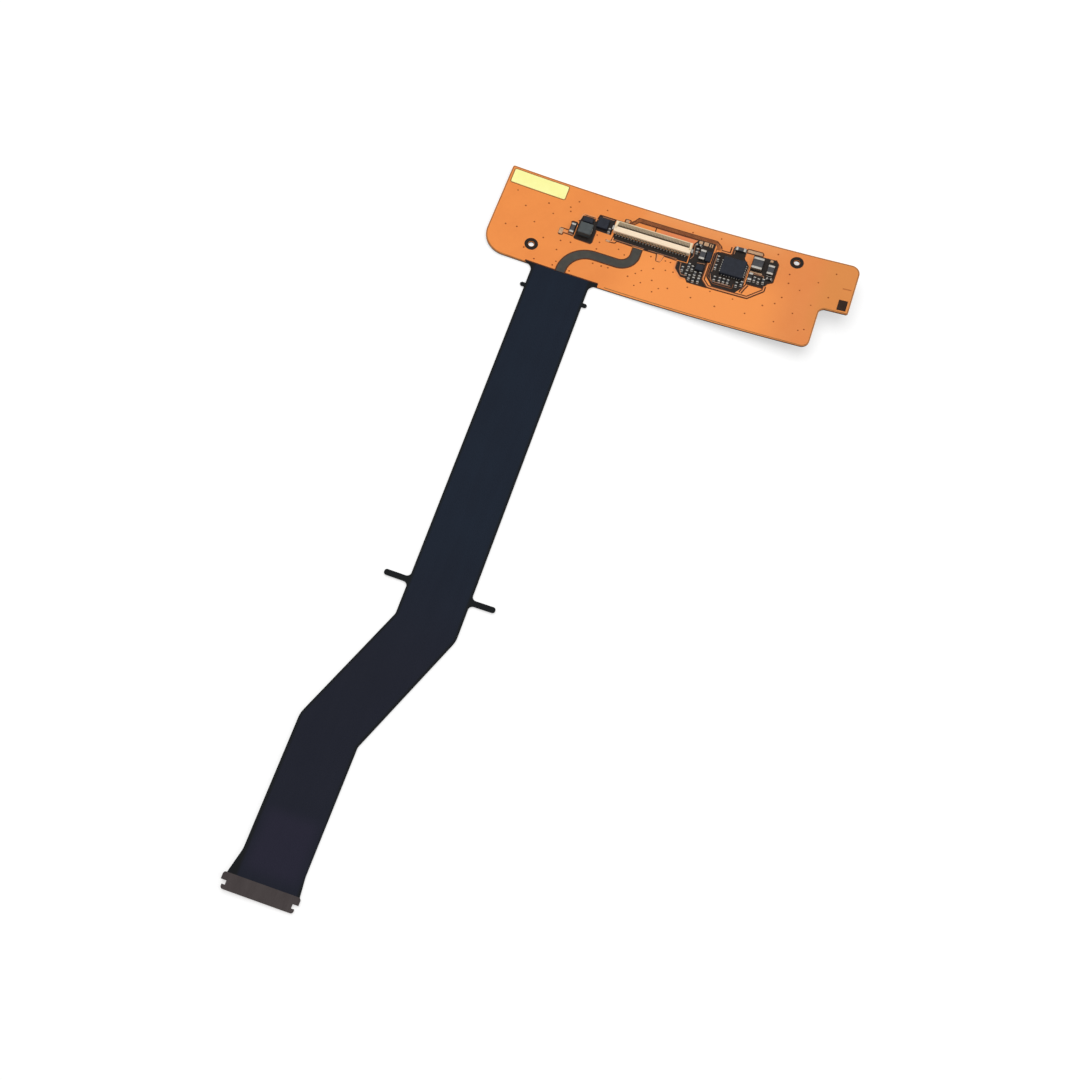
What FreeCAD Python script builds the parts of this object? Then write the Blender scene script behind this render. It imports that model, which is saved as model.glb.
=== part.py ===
"""Flexible circuit: a component board with a long flat tail that ends in plug-in contacts.

The laminate is gently curled about an axis parallel to the tail. Heights in it are
levels, counted from the underside of the board's stiffener towards the curl axis.
The frame stands at the left locating hole: +X along the board, +Y away from the
contact end, +Z up.
"""
import FreeCAD, Part
import Sketcher
import math
import os
import re

SIZES = {
    # Curl of the laminate
    "curl_radius": 360.0,
    "curl_line": 7.44,
    # Stack of films
    "stiffener_thick": 0.20,
    "core_thick": 0.12,
    "coverlay_thick": 0.10,
    "resist_thick": 0.04,
    "ink_thick": 0.025,
    "trace_thick": 0.05,
    "film_thick": 0.06,
    "end_stiffener_thick": 0.18,
    "plating_thick": 0.05,
    "film_gap": 0.05,
    "solder_gap": 0.02,
    # Board outline
    "board_left": -8.80,
    "board_lean": 0.25,
    "board_right": 60.95,
    "board_top": 15.44,
    "board_low_left": -4.15,
    "board_low_right": -4.50,
    "tab_left": 55.65,
    "tab_low": 4.55,
    "crisp_corner": 0.25,
    "sweep_corner": 4.50,
    "foot_corner": 1.45,
    "notch_fillet": 1.10,
    "shoulder_corner": 1.85,
    # Locating holes
    "hole_radius": 0.55,
    "ring_radius": 1.30,
    "hole_pitch": 49.04,
    "hole_rise": 13.04,
    # Tail
    "tail_left": 1.68,
    "tail_right": 13.20,
    "root_left": 0.0,
    "root_right": 14.65,
    "root_top": -3.80,
    "root_fillet": 1.40,
    "under_film_top": -6.60,
    "nub_left_place": -8.85,
    "nub_right_place": -9.15,
    "nub_reach": 0.92,
    "nub_width": 0.85,
    "nub_corner": 0.28,
    "arm_left_place": -72.15,
    "arm_right_place": -72.50,
    "arm_reach": 4.55,
    "arm_width": 1.10,
    "arm_corner": 0.50,
    "arm_fillet": 0.80,
    "jog_left_top": -78.80,
    "jog_left_low": -100.95,
    "jog_right_top": -80.05,
    "jog_right_low": -103.20,
    "jog_tight": 1.50,
    "jog_wide": 4.50,
    "end_left": -7.15,
    "end_right": 4.00,
    "end_lean": 0.25,
    "flare_left_top": -125.30,
    "flare_right_top": -126.30,
    "flare_bend": 4.00,
    "flare_left": -8.40,
    "flare_right": 4.10,
    # Contact end
    "end_middle": -2.27,
    "end_top": -129.65,
    "end_tip": -132.45,
    "ear_half": 6.64,
    "ear_low": -130.95,
    "notch_half": 5.66,
    "notch_low": -131.70,
    "tip_half": 6.22,
    "ear_corner": 0.45,
    "pin_pitch": 0.30,
    "pin_count": 37,
    "pin_width": 0.18,
    "pin_length": 3.00,
    "pin_inset": 0.15,
    "under_film_low": -128.70,
    # Printed and plated areas
    "strip_width": 1.90,
    "strip_root": 7.00,
    "strip_level": 1.84,
    "strip_first_bend": 5.10,
    "strip_last_bend": 2.85,
    "pad_left": -8.21,
    "pad_right": 2.94,
    "pad_low": 11.68,
    "pad_top": 14.89,
    "mark_left": 58.64,
    "mark_right": 60.34,
    "mark_low": 5.08,
    "mark_top": 7.34,
    "dash_low": 9.80,
    "dash_height": 0.22,
    "rib_width": 0.22,
    "bus_width": 0.11,
    "bus_pitch": 0.21,
    "bus_count": 4,
    "bus_bend": 0.40,
    "bus_fall": 7.35,
    "bus_slope": 1.30,
    "bus_run": 3.65,
    "bus_hook": 0.15,
    "bus_end": 1.05,
    "bus_stub": 1.10,
    "bus_dip": 1.25,
    # Cable connector
    "socket_x": 21.535,
    "socket_y": 9.18,
    "end_room": 0.75,
    "socket_depth": 2.36,
    "socket_height": 0.95,
    "socket_wall": 0.42,
    "socket_floor": 0.05,
    "sill_height": 0.44,
    "roof_start": 0.34,
    "roof_edge": 0.16,
    "mouth_low": 0.24,
    "mouth_high": 0.56,
    "mouth_inset": 0.25,
    "post_place": 0.30,
    "post_width": 0.12,
    "gauge": 0.12,
    "contact_width": 0.12,
    "slot_clearance": 0.03,
    "contact_pitch": 0.30,
    "contact_count": 47,
    "foot_length": 0.50,
    "foot_thick": 0.10,
    "arm_level": 0.66,
    "tip_drop": 0.09,
    "pivot_y": -0.05,
    "pivot_z": 0.62,
    "knuckle_radius": 0.33,
    "journal_radius": 0.10,
    "journal_length": 0.25,
    "running_gap": 0.02,
    "lever_thick": 0.38,
    "lever_low": 0.53,
    "lever_gap": 0.05,
    "lever_corner": 0.10,
    "cam_radius": 0.13,
    "solder_tab_width": 0.85,
    "solder_tab_height": 0.45,
    "solder_tab_thick": 0.12,
    "solder_tab_foot": 0.40,
    # Inductor and chips
    "inductor_length": 2.50,
    "inductor_width": 2.40,
    "inductor_height": 1.20,
    "driver_length": 4.50,
    "driver_width": 3.90,
    "driver_height": 0.72,
    "driver_leads_long": 8,
    "driver_leads_short": 6,
    "driver_lead_pitch": 0.50,
    "driver_lead_width": 0.22,
    "driver_lead_reach": 0.18,
    "driver_lead_height": 0.16,
    "regulator_length": 1.50,
    "regulator_width": 1.25,
    "regulator_height": 0.50,
    "level_length": 1.05,
    "level_width": 2.20,
    "level_height": 0.50,
    "logic_length": 2.10,
    "logic_width": 2.20,
    "logic_height": 0.55,
    "diode_length": 1.90,
    "diode_width": 1.05,
    "diode_height": 0.55,
    "chip_bevel": 0.08,
    # Two-ended parts
    "cap_proud": 0.03,
    "small_along": 1.00,
    "small_across": 0.50,
    "small_tall": 0.35,
    "small_cap": 0.25,
}

MATHS = {"sqrt", "asin"}

# Levels of the stack, as sums of its films
CORE_LOW = "stiffener_thick"
CORE_TOP = "(stiffener_thick + core_thick)"
BOARD_TOP = "(stiffener_thick + core_thick + coverlay_thick)"
RESIST_TOP = "(stiffener_thick + core_thick + coverlay_thick + resist_thick)"
SEAT = "(stiffener_thick + core_thick + coverlay_thick + resist_thick + solder_gap)"

# Places that depend on others
PLACES = {
    "socket_half": "(contact_pitch * (contact_count - 1) / 2 + end_room)",
    "socket_length": "(2 * socket_half)",
    "socket_left": "(socket_x - socket_half)",
    "socket_right": "(socket_x + socket_half)",
    "level_x": "(socket_right + 3.61 * small_along)",
    "bus_line": "(level_x + level_length / 2 + 0.43 * small_along)",
    "bus_level": "(socket_y + 3.07 * small_along)",
    "driver_left": "(bus_line + 1.90 * small_along)",
    "driver_right": "(driver_left + driver_length)",
    "strip_head": "(socket_x - 2.13 * small_along)",
    "strip_top": "(socket_y - 2.88 * small_along)",
}

# The tables below count in lengths of a small chip part (small_along). Across the board
# they count up from the connector's middle line (socket_y), and along it from the place
# that is named.

# Chips: name, name of its sizes, place, then how far along and how far up its middle is
CHIPS = (
    ("driver_chip", "driver", "driver_left + driver_length / 2", 0.00, -1.23),
    ("regulator_chip", "regulator", "socket_right", 2.61, -3.23),
    ("level_chip", "level", "level_x", 0.00, -0.33),
    ("logic_chip", "logic", "socket_left", -2.33, -0.08),
    ("diode", "diode", "socket_left", -5.24, -0.43),
)

# Larger two-ended parts: place, kind, direction, centre, length, width, height, end cap
LARGE_PARTS = (
    ("driver_right", "ceramic", "y", 1.95, 1.02, 2.60, 2.05, 0.85, 0.55),
    ("driver_right", "ceramic", "y", 4.63, 0.47, 2.10, 1.25, 0.60, 0.50),
    ("socket_right", "ceramic", "y", 2.37, -0.28, 2.20, 1.10, 0.60, 0.50),
    ("socket_left", "ceramic", "y", -7.56, -3.13, 2.20, 0.85, 0.60, 0.50),
    ("driver_right", "ceramic", "x", -1.95, 3.27, 2.00, 0.85, 0.45, 0.50),
    ("driver_right", "resistor", "y", 1.30, -1.98, 1.80, 0.80, 0.40, 0.50),
)

# Small two-ended parts, all of one size: place, kind, direction, centre
SMALL_PARTS = (
    ("driver_right", "ceramic", "y", 2.20, -2.28),
    ("driver_right", "resistor", "y", 3.00, -2.43),
    ("driver_right", "ceramic", "y", 3.90, -2.23),
    ("driver_right", "resistor", "x", 4.80, -1.43),
    ("socket_right", "ceramic", "y", 0.62, -3.28),
    ("socket_right", "resistor", "y", 1.32, -3.63),
    ("socket_right", "ceramic", "y", -0.43, -4.38),
    ("socket_right", "resistor", "y", 0.52, -4.88),
    ("socket_right", "ceramic", "y", 2.12, -4.73),
    ("socket_right", "resistor", "y", 3.11, -4.58),
    ("socket_right", "ceramic", "y", 1.27, -5.73),
    ("socket_right", "resistor", "y", 2.17, -6.03),
    ("socket_right", "ceramic", "y", 3.11, -5.93),
    ("socket_right", "resistor", "x", 1.07, 1.72),
    ("socket_right", "ceramic", "y", 1.17, 0.42),
    ("socket_left", "ceramic", "y", -0.80, -1.08),
    ("driver_left", "resistor", "y", -0.55, -4.48),
    ("driver_left", "ceramic", "y", 0.45, -4.43),
    ("driver_left", "resistor", "y", 1.25, -4.43),
    ("driver_left", "ceramic", "y", 2.05, -4.43),
    ("driver_right", "resistor", "y", -0.75, -4.43),
    ("driver_right", "ceramic", "y", 0.15, -3.98),
    ("driver_left", "resistor", "y", -1.05, 0.12),
    ("driver_left", "ceramic", "y", -1.05, -1.88),
)

# Bare plated pads: place, then left, low, right and top
BARE_PADS = (
    ("socket_left", -9.88, -4.93, -9.13, -3.68),
    ("socket_left", 1.62, 1.97, 2.22, 2.62),
    ("socket_left", -0.79, -3.43, 0.02, -3.03),
    ("socket_right", 0.96, 2.17, 1.67, 2.82),
    ("socket_right", 1.96, 2.07, 2.86, 2.87),
    ("socket_right", 3.11, 2.02, 3.32, 2.82),
    ("socket_right", 3.52, 2.02, 3.71, 2.82),
    ("driver_right", -0.60, 3.22, 2.25, 3.87),
    ("driver_right", 0.95, -0.90, 3.25, -0.60),
    ("driver_right", 4.05, 2.42, 4.60, 2.92),
)

# Dark resist areas: runs of corners, each run with its place, and a radius on a few
RESIST_AREAS = (
    # Inductor and the parts beside it
    (
        ("socket_left", (
            (-6.79, -4.93), (-3.23, -4.93), (-3.23, -1.78), (-0.23, -1.78), (-0.23, 1.72),
            (-3.48, 1.72), (-3.48, 0.57), (-6.79, 0.57, 0.60),
        )),
    ),
    (
        ("socket_left", ((-8.13, -4.33), (-6.93, -4.33), (-6.93, -1.48), (-8.13, -1.48))),
    ),
    # Row of the connector's front feet
    (
        ("socket_left", ((0.31, -1.23), (0.31, -2.68))),
        ("socket_right", ((-0.08, -2.68), (-0.08, -1.23))),
    ),
    # Parts between the connector and the driver chip
    (
        ("socket_right", (
            (0.82, 3.02), (0.12, 1.82), (0.12, -2.83), (-1.79, -2.88), (-1.68, -4.58, 0.60),
            (-0.29, -6.08), (0.71, -6.08), (1.12, -6.78),
        )),
        ("bus_line", (
            (0.35, -6.78), (-0.90, -5.33), (-0.90, -1.48), (-0.37, -1.18), (-0.37, 3.02),
        )),
    ),
    # Driver chip
    (
        ("bus_line", ((1.25, -6.18),)),
        ("driver_right", (
            (-0.55, -6.18), (0.60, -4.58), (0.60, 0.12), (-0.75, 1.72), (-0.75, 3.77),
        )),
        ("bus_line", (
            (3.15, 3.77), (3.15, 1.62), (0.45, 1.62), (-0.25, 1.02), (-0.25, -4.48, 0.50),
        )),
    ),
    # Parts at the right of the driver chip
    (
        ("driver_right", (
            (0.80, -3.58), (4.15, -3.58), (4.80, -2.28), (5.65, -1.78), (5.65, 2.32),
            (4.95, 3.12), (0.80, 3.07),
        )),
    ),
)

# Single raised traces: runs of corners of their middle line
GUARD_TRACES = (
    (
        ("bus_line", ((-0.65, -1.58), (-0.65, -5.28), (0.60, -6.53))),
        ("driver_right", ((1.85, -6.53), (4.40, -4.18), (4.40, -3.18))),
    ),
    (
        ("socket_left", (
            (-6.88, -0.78), (-6.58, 0.67), (-6.29, 0.97), (-4.13, 0.97), (-3.83, 0.67),
            (-3.83, 0.12),
        )),
    ),
    (
        ("socket_left", ((0.42, -2.18), (0.42, -3.03), (0.17, -3.23))),
    ),
    (
        ("socket_left", ((9.51, -2.78), (9.72, -4.18), (10.37, -4.18), (10.62, -2.78))),
    ),
    (
        ("socket_right", ((-2.04, -2.98), (-1.93, -4.68), (-0.38, -6.33), (0.67, -6.33))),
    ),
    (
        ("socket_left", ((-9.13, -4.23), (-8.29, -4.23))),
    ),
    (
        ("driver_left", ((-0.95, 1.87), (0.85, 1.87), (1.00, 2.02), (1.00, 3.42))),
    ),
    (
        ("driver_right", ((1.20, -3.83), (0.80, -4.73), (0.40, -5.88))),
    ),
)

doc = FreeCAD.newDocument("FlexCircuit")
sheet = doc.addObject("Spreadsheet::Sheet", "Sizes")
nodes = []
cylinders = {}
shells = {}


def fill_sheet():
    """Write every driving size into the sheet under its own name."""
    for row, (name, number) in enumerate(SIZES.items(), 1):
        sheet.set("A%d" % row, name)
        sheet.set("B%d" % row, str(number))
        sheet.setAlias("B%d" % row, name)
    doc.recompute()


def bound(text):
    """Text of an expression with each place spelt out and each size looked up on the sheet."""
    def cell(match):
        """Text that stands for one word of the expression."""
        word = match.group()
        if word in PLACES:
            return bound(PLACES[word])
        return word if word in MATHS else "Sizes." + word
    return re.sub(r"[a-z][a-z_]{2,}", cell, str(text))


def size(text):
    """Number that an expression text stands for."""
    return float(sheet.evalExpression(bound(text)))


def bind(thing, **texts):
    """Tie properties of an object to expression texts."""
    for name, text in texts.items():
        thing.setExpression(name, bound(text))


def keep(thing, name):
    """Name a finished sub-part and put it on the list of nodes."""
    thing.Label = name
    nodes.append(thing)
    return thing


def counted(place, number):
    """Expression text of a number of small parts' lengths, from a place."""
    return "%s + (%s) * small_along" % (place, number)


def laid_out(runs):
    """Corners of the tables, as expression texts."""
    corners = []
    for place, run in runs:
        for across, up, *radius in run:
            corners.append((
                counted(place, across), counted("socket_y", up),
                *["%s * small_along" % number for number in radius],
            ))
    return corners


def vector(corner):
    """Point in the plane from a corner's expression texts."""
    return FreeCAD.Vector(size(corner[0]), size(corner[1]), 0)


class Outline:
    """Outlines drawn in one sketch, with every corner and radius tied to the sheet."""

    def __init__(self, sketch):
        self.sketch = sketch
        self.rules = []
        self.texts = {}

    def add(self, shape, guide=False):
        """Add a line, arc, circle or point, and give its number in the sketch."""
        return self.sketch.addGeometry(shape, guide)

    def rule(self, *terms, text=None):
        """Note a constraint, and the expression text that drives it."""
        if text is not None:
            self.texts[len(self.rules)] = text
        self.rules.append(Sketcher.Constraint(*terms))

    def fix_point(self, geometry, place, corner):
        """Hold a point at its corner's expression texts."""
        self.rule("DistanceX", geometry, place, size(corner[0]), text=corner[0])
        self.rule("DistanceY", geometry, place, size(corner[1]), text=corner[1])

    def fix_radius(self, geometry, radius):
        """Hold the radius of a circle or an arc at an expression text."""
        self.rule("Radius", geometry, size(radius), text=radius)

    def polygon(self, corners):
        """Closed outline through corners (x, y, radius), with tangent arcs at rounded ones."""
        points = [vector(corner) for corner in corners]
        count = len(points)
        ends = []
        for index, corner in enumerate(corners):
            radius = size(corner[2]) if len(corner) > 2 else 0
            at, after = points[index], points[(index + 1) % count]
            rounded = radius > 0
            ends.append(corner_arc(points[index - 1], at, after, radius) if rounded else (at, at))
        lines = [
            self.add(Part.LineSegment(ends[index - 1][1], ends[index][0]))
            for index in range(count)
        ]
        for index, corner in enumerate(corners):
            line, following = lines[index], lines[(index + 1) % count]
            if len(ends[index]) > 2:
                self.join_by_arc(line, following, ends[index], points[index], corner)
            else:
                self.rule("Coincident", line, 2, following, 1)
                self.fix_point(line, 2, corner)

    def join_by_arc(self, line, following, ends, at, corner):
        """Join two lines by a tangent arc, with the sharp corner kept as a guide point."""
        start, end, centre = ends
        turn = ((at - start).cross(end - at)).z
        first, last = (1, 2) if turn > 0 else (2, 1)
        low, high = (start, end) if turn > 0 else (end, start)
        begin = math.atan2(low.y - centre.y, low.x - centre.x)
        finish = math.atan2(high.y - centre.y, high.x - centre.x)
        if finish < begin:
            finish += 2 * math.pi
        circle = Part.Circle(centre, FreeCAD.Vector(0, 0, 1), size(corner[2]))
        arc = self.add(Part.ArcOfCircle(circle, begin, finish))
        self.rule("Tangent", line, 2, arc, first)
        self.rule("Tangent", arc, last, following, 1)
        self.fix_radius(arc, corner[2])
        guide = self.add(Part.Point(at), True)
        self.rule("PointOnObject", guide, 1, line)
        self.rule("PointOnObject", guide, 1, following)
        self.fix_point(guide, 1, corner)

    def circle(self, x, y, radius):
        """Circle held at a place and radius given as expression texts."""
        circle = Part.Circle(vector((x, y)), FreeCAD.Vector(0, 0, 1), size(radius))
        geometry = self.add(circle)
        self.fix_radius(geometry, radius)
        self.fix_point(geometry, 3, (x, y))

    def finish(self):
        """Set all the constraints at once and tie them to the sheet."""
        numbers = self.sketch.addConstraint(self.rules)
        for index, text in self.texts.items():
            bind(self.sketch, **{"Constraints[%d]" % numbers[index]: text})


def corner_arc(before, at, after, radius):
    """Tangent points and centre of the arc that rounds a corner."""
    back = (before - at).normalize()
    ahead = (after - at).normalize()
    half = math.acos(max(-1.0, min(1.0, back * ahead))) / 2
    start = at + back * (radius / math.tan(half))
    end = at + ahead * (radius / math.tan(half))
    centre = at + (back + ahead).normalize() * (radius / math.sin(half))
    return start, end, centre


def draw(sketch, *outlines):
    """Draw closed outlines, and circles given as (x, y, radius) texts, in a sketch."""
    drawing = Outline(sketch)
    for outline in outlines:
        if isinstance(outline[0], (tuple, list)):
            drawing.polygon(outline)
        else:
            drawing.circle(*outline)
    drawing.finish()
    return sketch


def box_corners(left, low, right, top, radius=0):
    """Corners of an upright rectangle."""
    return [(left, low, radius), (right, low, radius), (right, top, radius), (left, top, radius)]


def prism(name, *outlines):
    """Upright prism over a film's outlines, taller than the curl lifts the board."""
    sketch = draw(doc.addObject("Sketcher::SketchObject", name + "_outline"), *outlines)
    solid = doc.addObject("Part::Extrusion", name + "_prism")
    solid.Base = sketch
    solid.DirMode = "Custom"
    solid.Dir = FreeCAD.Vector(0, 0, 1)
    solid.LengthRev = 1
    solid.Solid = True
    solid.FaceMakerClass = "Part::FaceMakerBullseye"
    bind(solid, LengthFwd="(board_right - curl_line)^2 / curl_radius + 2")
    return solid


def level_cylinder(level):
    """Cylinder about the curl axis whose wall lies at a level of the stack."""
    if level not in cylinders:
        solid = doc.addObject("Part::Cylinder", "level_cylinder")
        solid.Placement.Rotation = FreeCAD.Rotation(FreeCAD.Vector(1, 0, 0), -90)
        bind(solid, Radius="curl_radius - (%s)" % level, Height="board_top - end_tip + 2")
        solid.setExpression(".Placement.Base.x", bound("curl_line"))
        solid.setExpression(".Placement.Base.y", bound("end_tip - 1"))
        solid.setExpression(".Placement.Base.z", bound("curl_radius"))
        cylinders[level] = solid
    return cylinders[level]


def curled_shell(low, high):
    """Shell of the curled sheet between two levels of the stack."""
    if (low, high) not in shells:
        shell = doc.addObject("Part::Cut", "curled_shell")
        shell.Base = level_cylinder(low)
        shell.Tool = level_cylinder(high)
        shells[low, high] = shell
    return shells[low, high]


def film(name, stamp, low, high):
    """Film cut out by a stamp, which follows the curl between two levels."""
    punched = doc.addObject("Part::MultiCommon", name)
    punched.Shapes = [stamp, curled_shell(low, high)]
    return keep(punched, name)


def printed_film(name, outlines, low, high):
    """Film of several separate patches, each cut to an outline of its own."""
    patches = []
    for outline in outlines:
        patch = doc.addObject("Part::MultiCommon", name + "_patch")
        patch.Shapes = [prism(name, outline), curled_shell(low, high)]
        patches.append(patch)
    return group(name, patches)


def cut_away(name, base, tool):
    """One solid less another."""
    cut = doc.addObject("Part::Cut", name)
    cut.Base = base
    cut.Tool = tool
    return cut


def left_board_corners():
    """Left end of the board, from its top corner down to the tail."""
    return [
        ("board_left + crisp_corner", "board_top"),
        ("board_left", "board_top - crisp_corner"),
        ("board_left - board_lean", "board_low_left", "sweep_corner"),
    ]


def right_board_corners():
    """Right end of the board with its tab, from the tail up to the top corner."""
    return [
        ("tab_left", "board_low_right", "foot_corner"),
        ("tab_left", "tab_low", "notch_fillet"),
        ("board_right - crisp_corner", "tab_low"),
        ("board_right", "tab_low + crisp_corner"),
        ("board_right", "board_top", "shoulder_corner"),
    ]


def nub_corners(edge, sign, place):
    """Corners of a short nub with clipped corners at the side of the tail."""
    out = "%s %s nub_reach" % (edge, sign)
    inner = "%s %s (nub_reach - nub_corner)" % (edge, sign)
    high, low = place + " + nub_width / 2", place + " - nub_width / 2"
    return [
        (edge, high), (inner, high), (out, high + " - nub_corner"),
        (out, low + " + nub_corner"), (inner, low), (edge, low),
    ]


def arm_corners(edge, sign, place):
    """Corners of a long rounded arm that stands out sideways from the tail."""
    out = "%s %s arm_reach" % (edge, sign)
    return [
        (edge, place + " + arm_width / 2", "arm_fillet"),
        (out, place + " + arm_width / 2", "arm_corner"),
        (out, place + " - arm_width / 2", "arm_corner"),
        (edge, place + " - arm_width / 2", "arm_fillet"),
    ]


def left_tail_corners():
    """Left edge of the tail, from below its root to the flare."""
    return (
        nub_corners("tail_left", "-", "nub_left_place")
        + arm_corners("tail_left", "-", "arm_left_place")
        + left_jog_corners()
    )


def left_jog_corners():
    """Left edge of the tail round its sideways step, down to the flare."""
    return [
        ("tail_left", "jog_left_top", "jog_tight"),
        ("end_left", "jog_left_low", "jog_wide"),
        ("end_left - end_lean", "flare_left_top", "flare_bend"),
    ]


def right_tail_corners():
    """Right edge of the tail, from the flare up to below its root."""
    tongues = (
        nub_corners("tail_right", "+", "nub_right_place")
        + arm_corners("tail_right", "+", "arm_right_place")
    )
    return right_jog_corners() + tongues[::-1]


def right_jog_corners():
    """Right edge of the tail round its sideways step, up from the flare."""
    return [
        ("end_right - end_lean", "flare_right_top", "flare_bend"),
        ("end_right", "jog_right_low", "jog_tight"),
        ("tail_right", "jog_right_top", "jog_wide"),
    ]


def ear_corners(sign):
    """Ear, side notch and tip of one side of the contact end, from the top down."""
    ear = "end_middle %s ear_half" % sign
    notch = "end_middle %s notch_half" % sign
    tip = "end_middle %s tip_half" % sign
    return [
        (ear, "end_top", "ear_corner"),
        (ear, "ear_low"),
        (notch, "ear_low"),
        (notch, "notch_low"),
        (tip, "notch_low"),
        (tip, "end_tip", "ear_corner"),
    ]


def locating_holes(radius):
    """Circles round both locating holes."""
    return [("0", "0", radius), ("hole_pitch", "hole_rise", radius)]


def board_stamp():
    """Outline of the board with its locating holes, stepped under the tail's root."""
    middle = "(tail_left + tail_right) / 2"
    corners = (
        left_board_corners()
        + [(middle, "board_low_left"), (middle, "board_low_right")]
        + right_board_corners()
    )
    return prism("board", corners, *locating_holes("hole_radius"))


def tail_stamp():
    """Outline of the tail, from the straight edge of its root to the contact end."""
    corners = (
        [
            ("root_left", "root_top"),
            ("root_left", "board_low_left"),
            ("tail_left", "board_low_left", "root_fillet"),
        ]
        + left_tail_corners()
        + [("flare_left", "end_top"), ("flare_right", "end_top")]
        + right_tail_corners()
        + [
            ("tail_right", "board_low_right", "root_fillet"),
            ("root_right", "board_low_right"),
            ("root_right", "root_top"),
        ]
    )
    return prism("tail", corners)


def end_stamp():
    """Outline of the contact end, with its ears and side notches."""
    corners = (
        [("flare_left", "end_top")]
        + ear_corners("-")
        + ear_corners("+")[::-1]
        + [("flare_right", "end_top")]
    )
    return prism("contact_end", corners)


def make_laminate():
    """Circuit core in one piece, and the films and stiffeners bonded to both its sides."""
    board, tail, end = board_stamp(), tail_stamp(), end_stamp()
    whole = doc.addObject("Part::MultiFuse", "circuit_outline")
    whole.Shapes = [board, tail, end]
    whole.Refine = True
    film("flex_core", whole, CORE_LOW, CORE_TOP)
    film("board_stiffener", board, "0", CORE_LOW)
    film("board_coverlay", cut_away("coverlay_outline", board, tail), CORE_TOP, BOARD_TOP)
    film("tail_top_film", tail, CORE_TOP, CORE_TOP + " + film_thick")
    film("end_stiffener", end, CORE_TOP, CORE_TOP + " + end_stiffener_thick")

    under = prism("under_film", (
        [("tail_left", "under_film_top")]
        + left_jog_corners()
        + [
            (slanted_edge("left"), "under_film_low"),
            (slanted_edge("right"), "under_film_low"),
        ]
        + right_jog_corners()
        + [("tail_right", "under_film_top")]
    ))
    film("tail_under_film", under, CORE_LOW + " - film_thick", CORE_LOW)


def slanted_edge(side):
    """Place on the flare's slanted edge at the height where the lower cover film ends."""
    top = "(end_{0} - end_lean)".format(side)
    share = "(flare_{0}_top - under_film_low) / (flare_{0}_top - end_top)".format(side)
    return "%s + (flare_%s - %s) * %s" % (top, side, top, share)


def make_end_contacts():
    """Row of plated contacts under the contact end, spaced along the curl."""
    body = new_body("end_contacts")
    row = "pin_pitch * (pin_count - 1)"
    sketch = body_sketch(body, "XZ_Plane", "contact_section")
    draw(sketch, box_corners(
        "-pin_width / 2", "stiffener_thick - plating_thick - curl_radius",
        "pin_width / 2", "stiffener_thick - curl_radius",
    ))
    strip = pad(body, sketch, "pin_length", reverse=True)
    pattern = body.newObject("PartDesign::PolarPattern", "contact_row")
    pattern.Originals = [strip]
    pattern.Axis = (plane(body, "Y_Axis"), [""])
    pattern.Reversed = True
    bind(pattern, Angle=row + " / curl_radius * 180 / %.10f" % math.pi, Occurrences="pin_count")
    body.Tip = pattern
    body.Placement.Rotation = FreeCAD.Rotation(FreeCAD.Vector(0, 1, 0), 1)
    start = "(end_middle - %s / 2 - curl_line) / curl_radius" % row
    body.setExpression(".Placement.Rotation.Angle", bound("-asin(%s)" % start))
    body.setExpression(".Placement.Base.x", bound("curl_line"))
    body.setExpression(".Placement.Base.y", bound("end_tip + pin_inset"))
    body.setExpression(".Placement.Base.z", bound("curl_radius"))


def ribbon_corners(path, width, shift="0"):
    """Closed outline of a strip that runs beside a path, from the path's corners."""
    points = [vector(corner) for corner in path]
    half, aside = size(width) / 2, size(shift)
    sides = [side_line(points, path, aside + half), side_line(points, path, aside - half)]
    return sides[0] + sides[1][::-1]


def side_line(points, path, offset):
    """Corners of a line beside a path, each with the radius that the offset leaves."""
    normals = []
    for first, second in zip(points, points[1:]):
        run = (second - first).normalize()
        normals.append(FreeCAD.Vector(-run.y, run.x, 0))
    line = []
    for index, point in enumerate(points):
        before = normals[max(index - 1, 0)]
        after = normals[min(index, len(normals) - 1)]
        mitre = (before + after) * (1.0 / (1.0 + before * after))
        place = point + mitre * offset
        turn = before.cross(after).z
        bend = size(path[index][2]) if len(path[index]) > 2 else 0
        radius = bend - offset if turn > 0 else bend + offset
        line.append((place.x, place.y, max(radius, 0.02) if bend > 0 else 0))
    return line


def make_printed_areas():
    """Dark rings, resist areas and marks, the shield strip and the plated areas."""
    rings = prism("rings", *locating_holes("ring_radius"),
                  *locating_holes("hole_radius + film_gap"))
    film("locating_rings", rings, BOARD_TOP, BOARD_TOP + " + ink_thick")
    areas = [laid_out(area) for area in RESIST_AREAS]
    printed_film("component_resist", areas, BOARD_TOP, RESIST_TOP)
    marks = prism(
        "marks",
        box_corners("mark_left", "mark_low", "mark_right", "mark_top"),
        box_corners("mark_left + film_gap", "dash_low", "mark_right", "dash_low + dash_height"),
    )
    film("marking_patches", marks, BOARD_TOP, RESIST_TOP)
    pad_area = prism("pad", box_corners("pad_left", "pad_low", "pad_right", "pad_top"))
    film("ground_pad", pad_area, BOARD_TOP, BOARD_TOP + " + plating_thick")
    pads = prism("pads", *[
        box_corners(counted(place, left), counted("socket_y", low),
                    counted(place, right), counted("socket_y", top))
        for place, left, low, right, top in BARE_PADS
    ])
    film("bare_pads", pads, RESIST_TOP, RESIST_TOP + " + plating_thick")
    route = (
        ("strip_root", "root_top", 0),
        ("strip_root", "strip_level", "strip_first_bend"),
        ("strip_head", "strip_level", "strip_last_bend"),
        ("strip_head", "strip_top", 0),
    )
    strip = prism("strip", ribbon_corners(route, "strip_width"))
    film("shield_strip", strip, BOARD_TOP, BOARD_TOP + " + film_thick")


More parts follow.
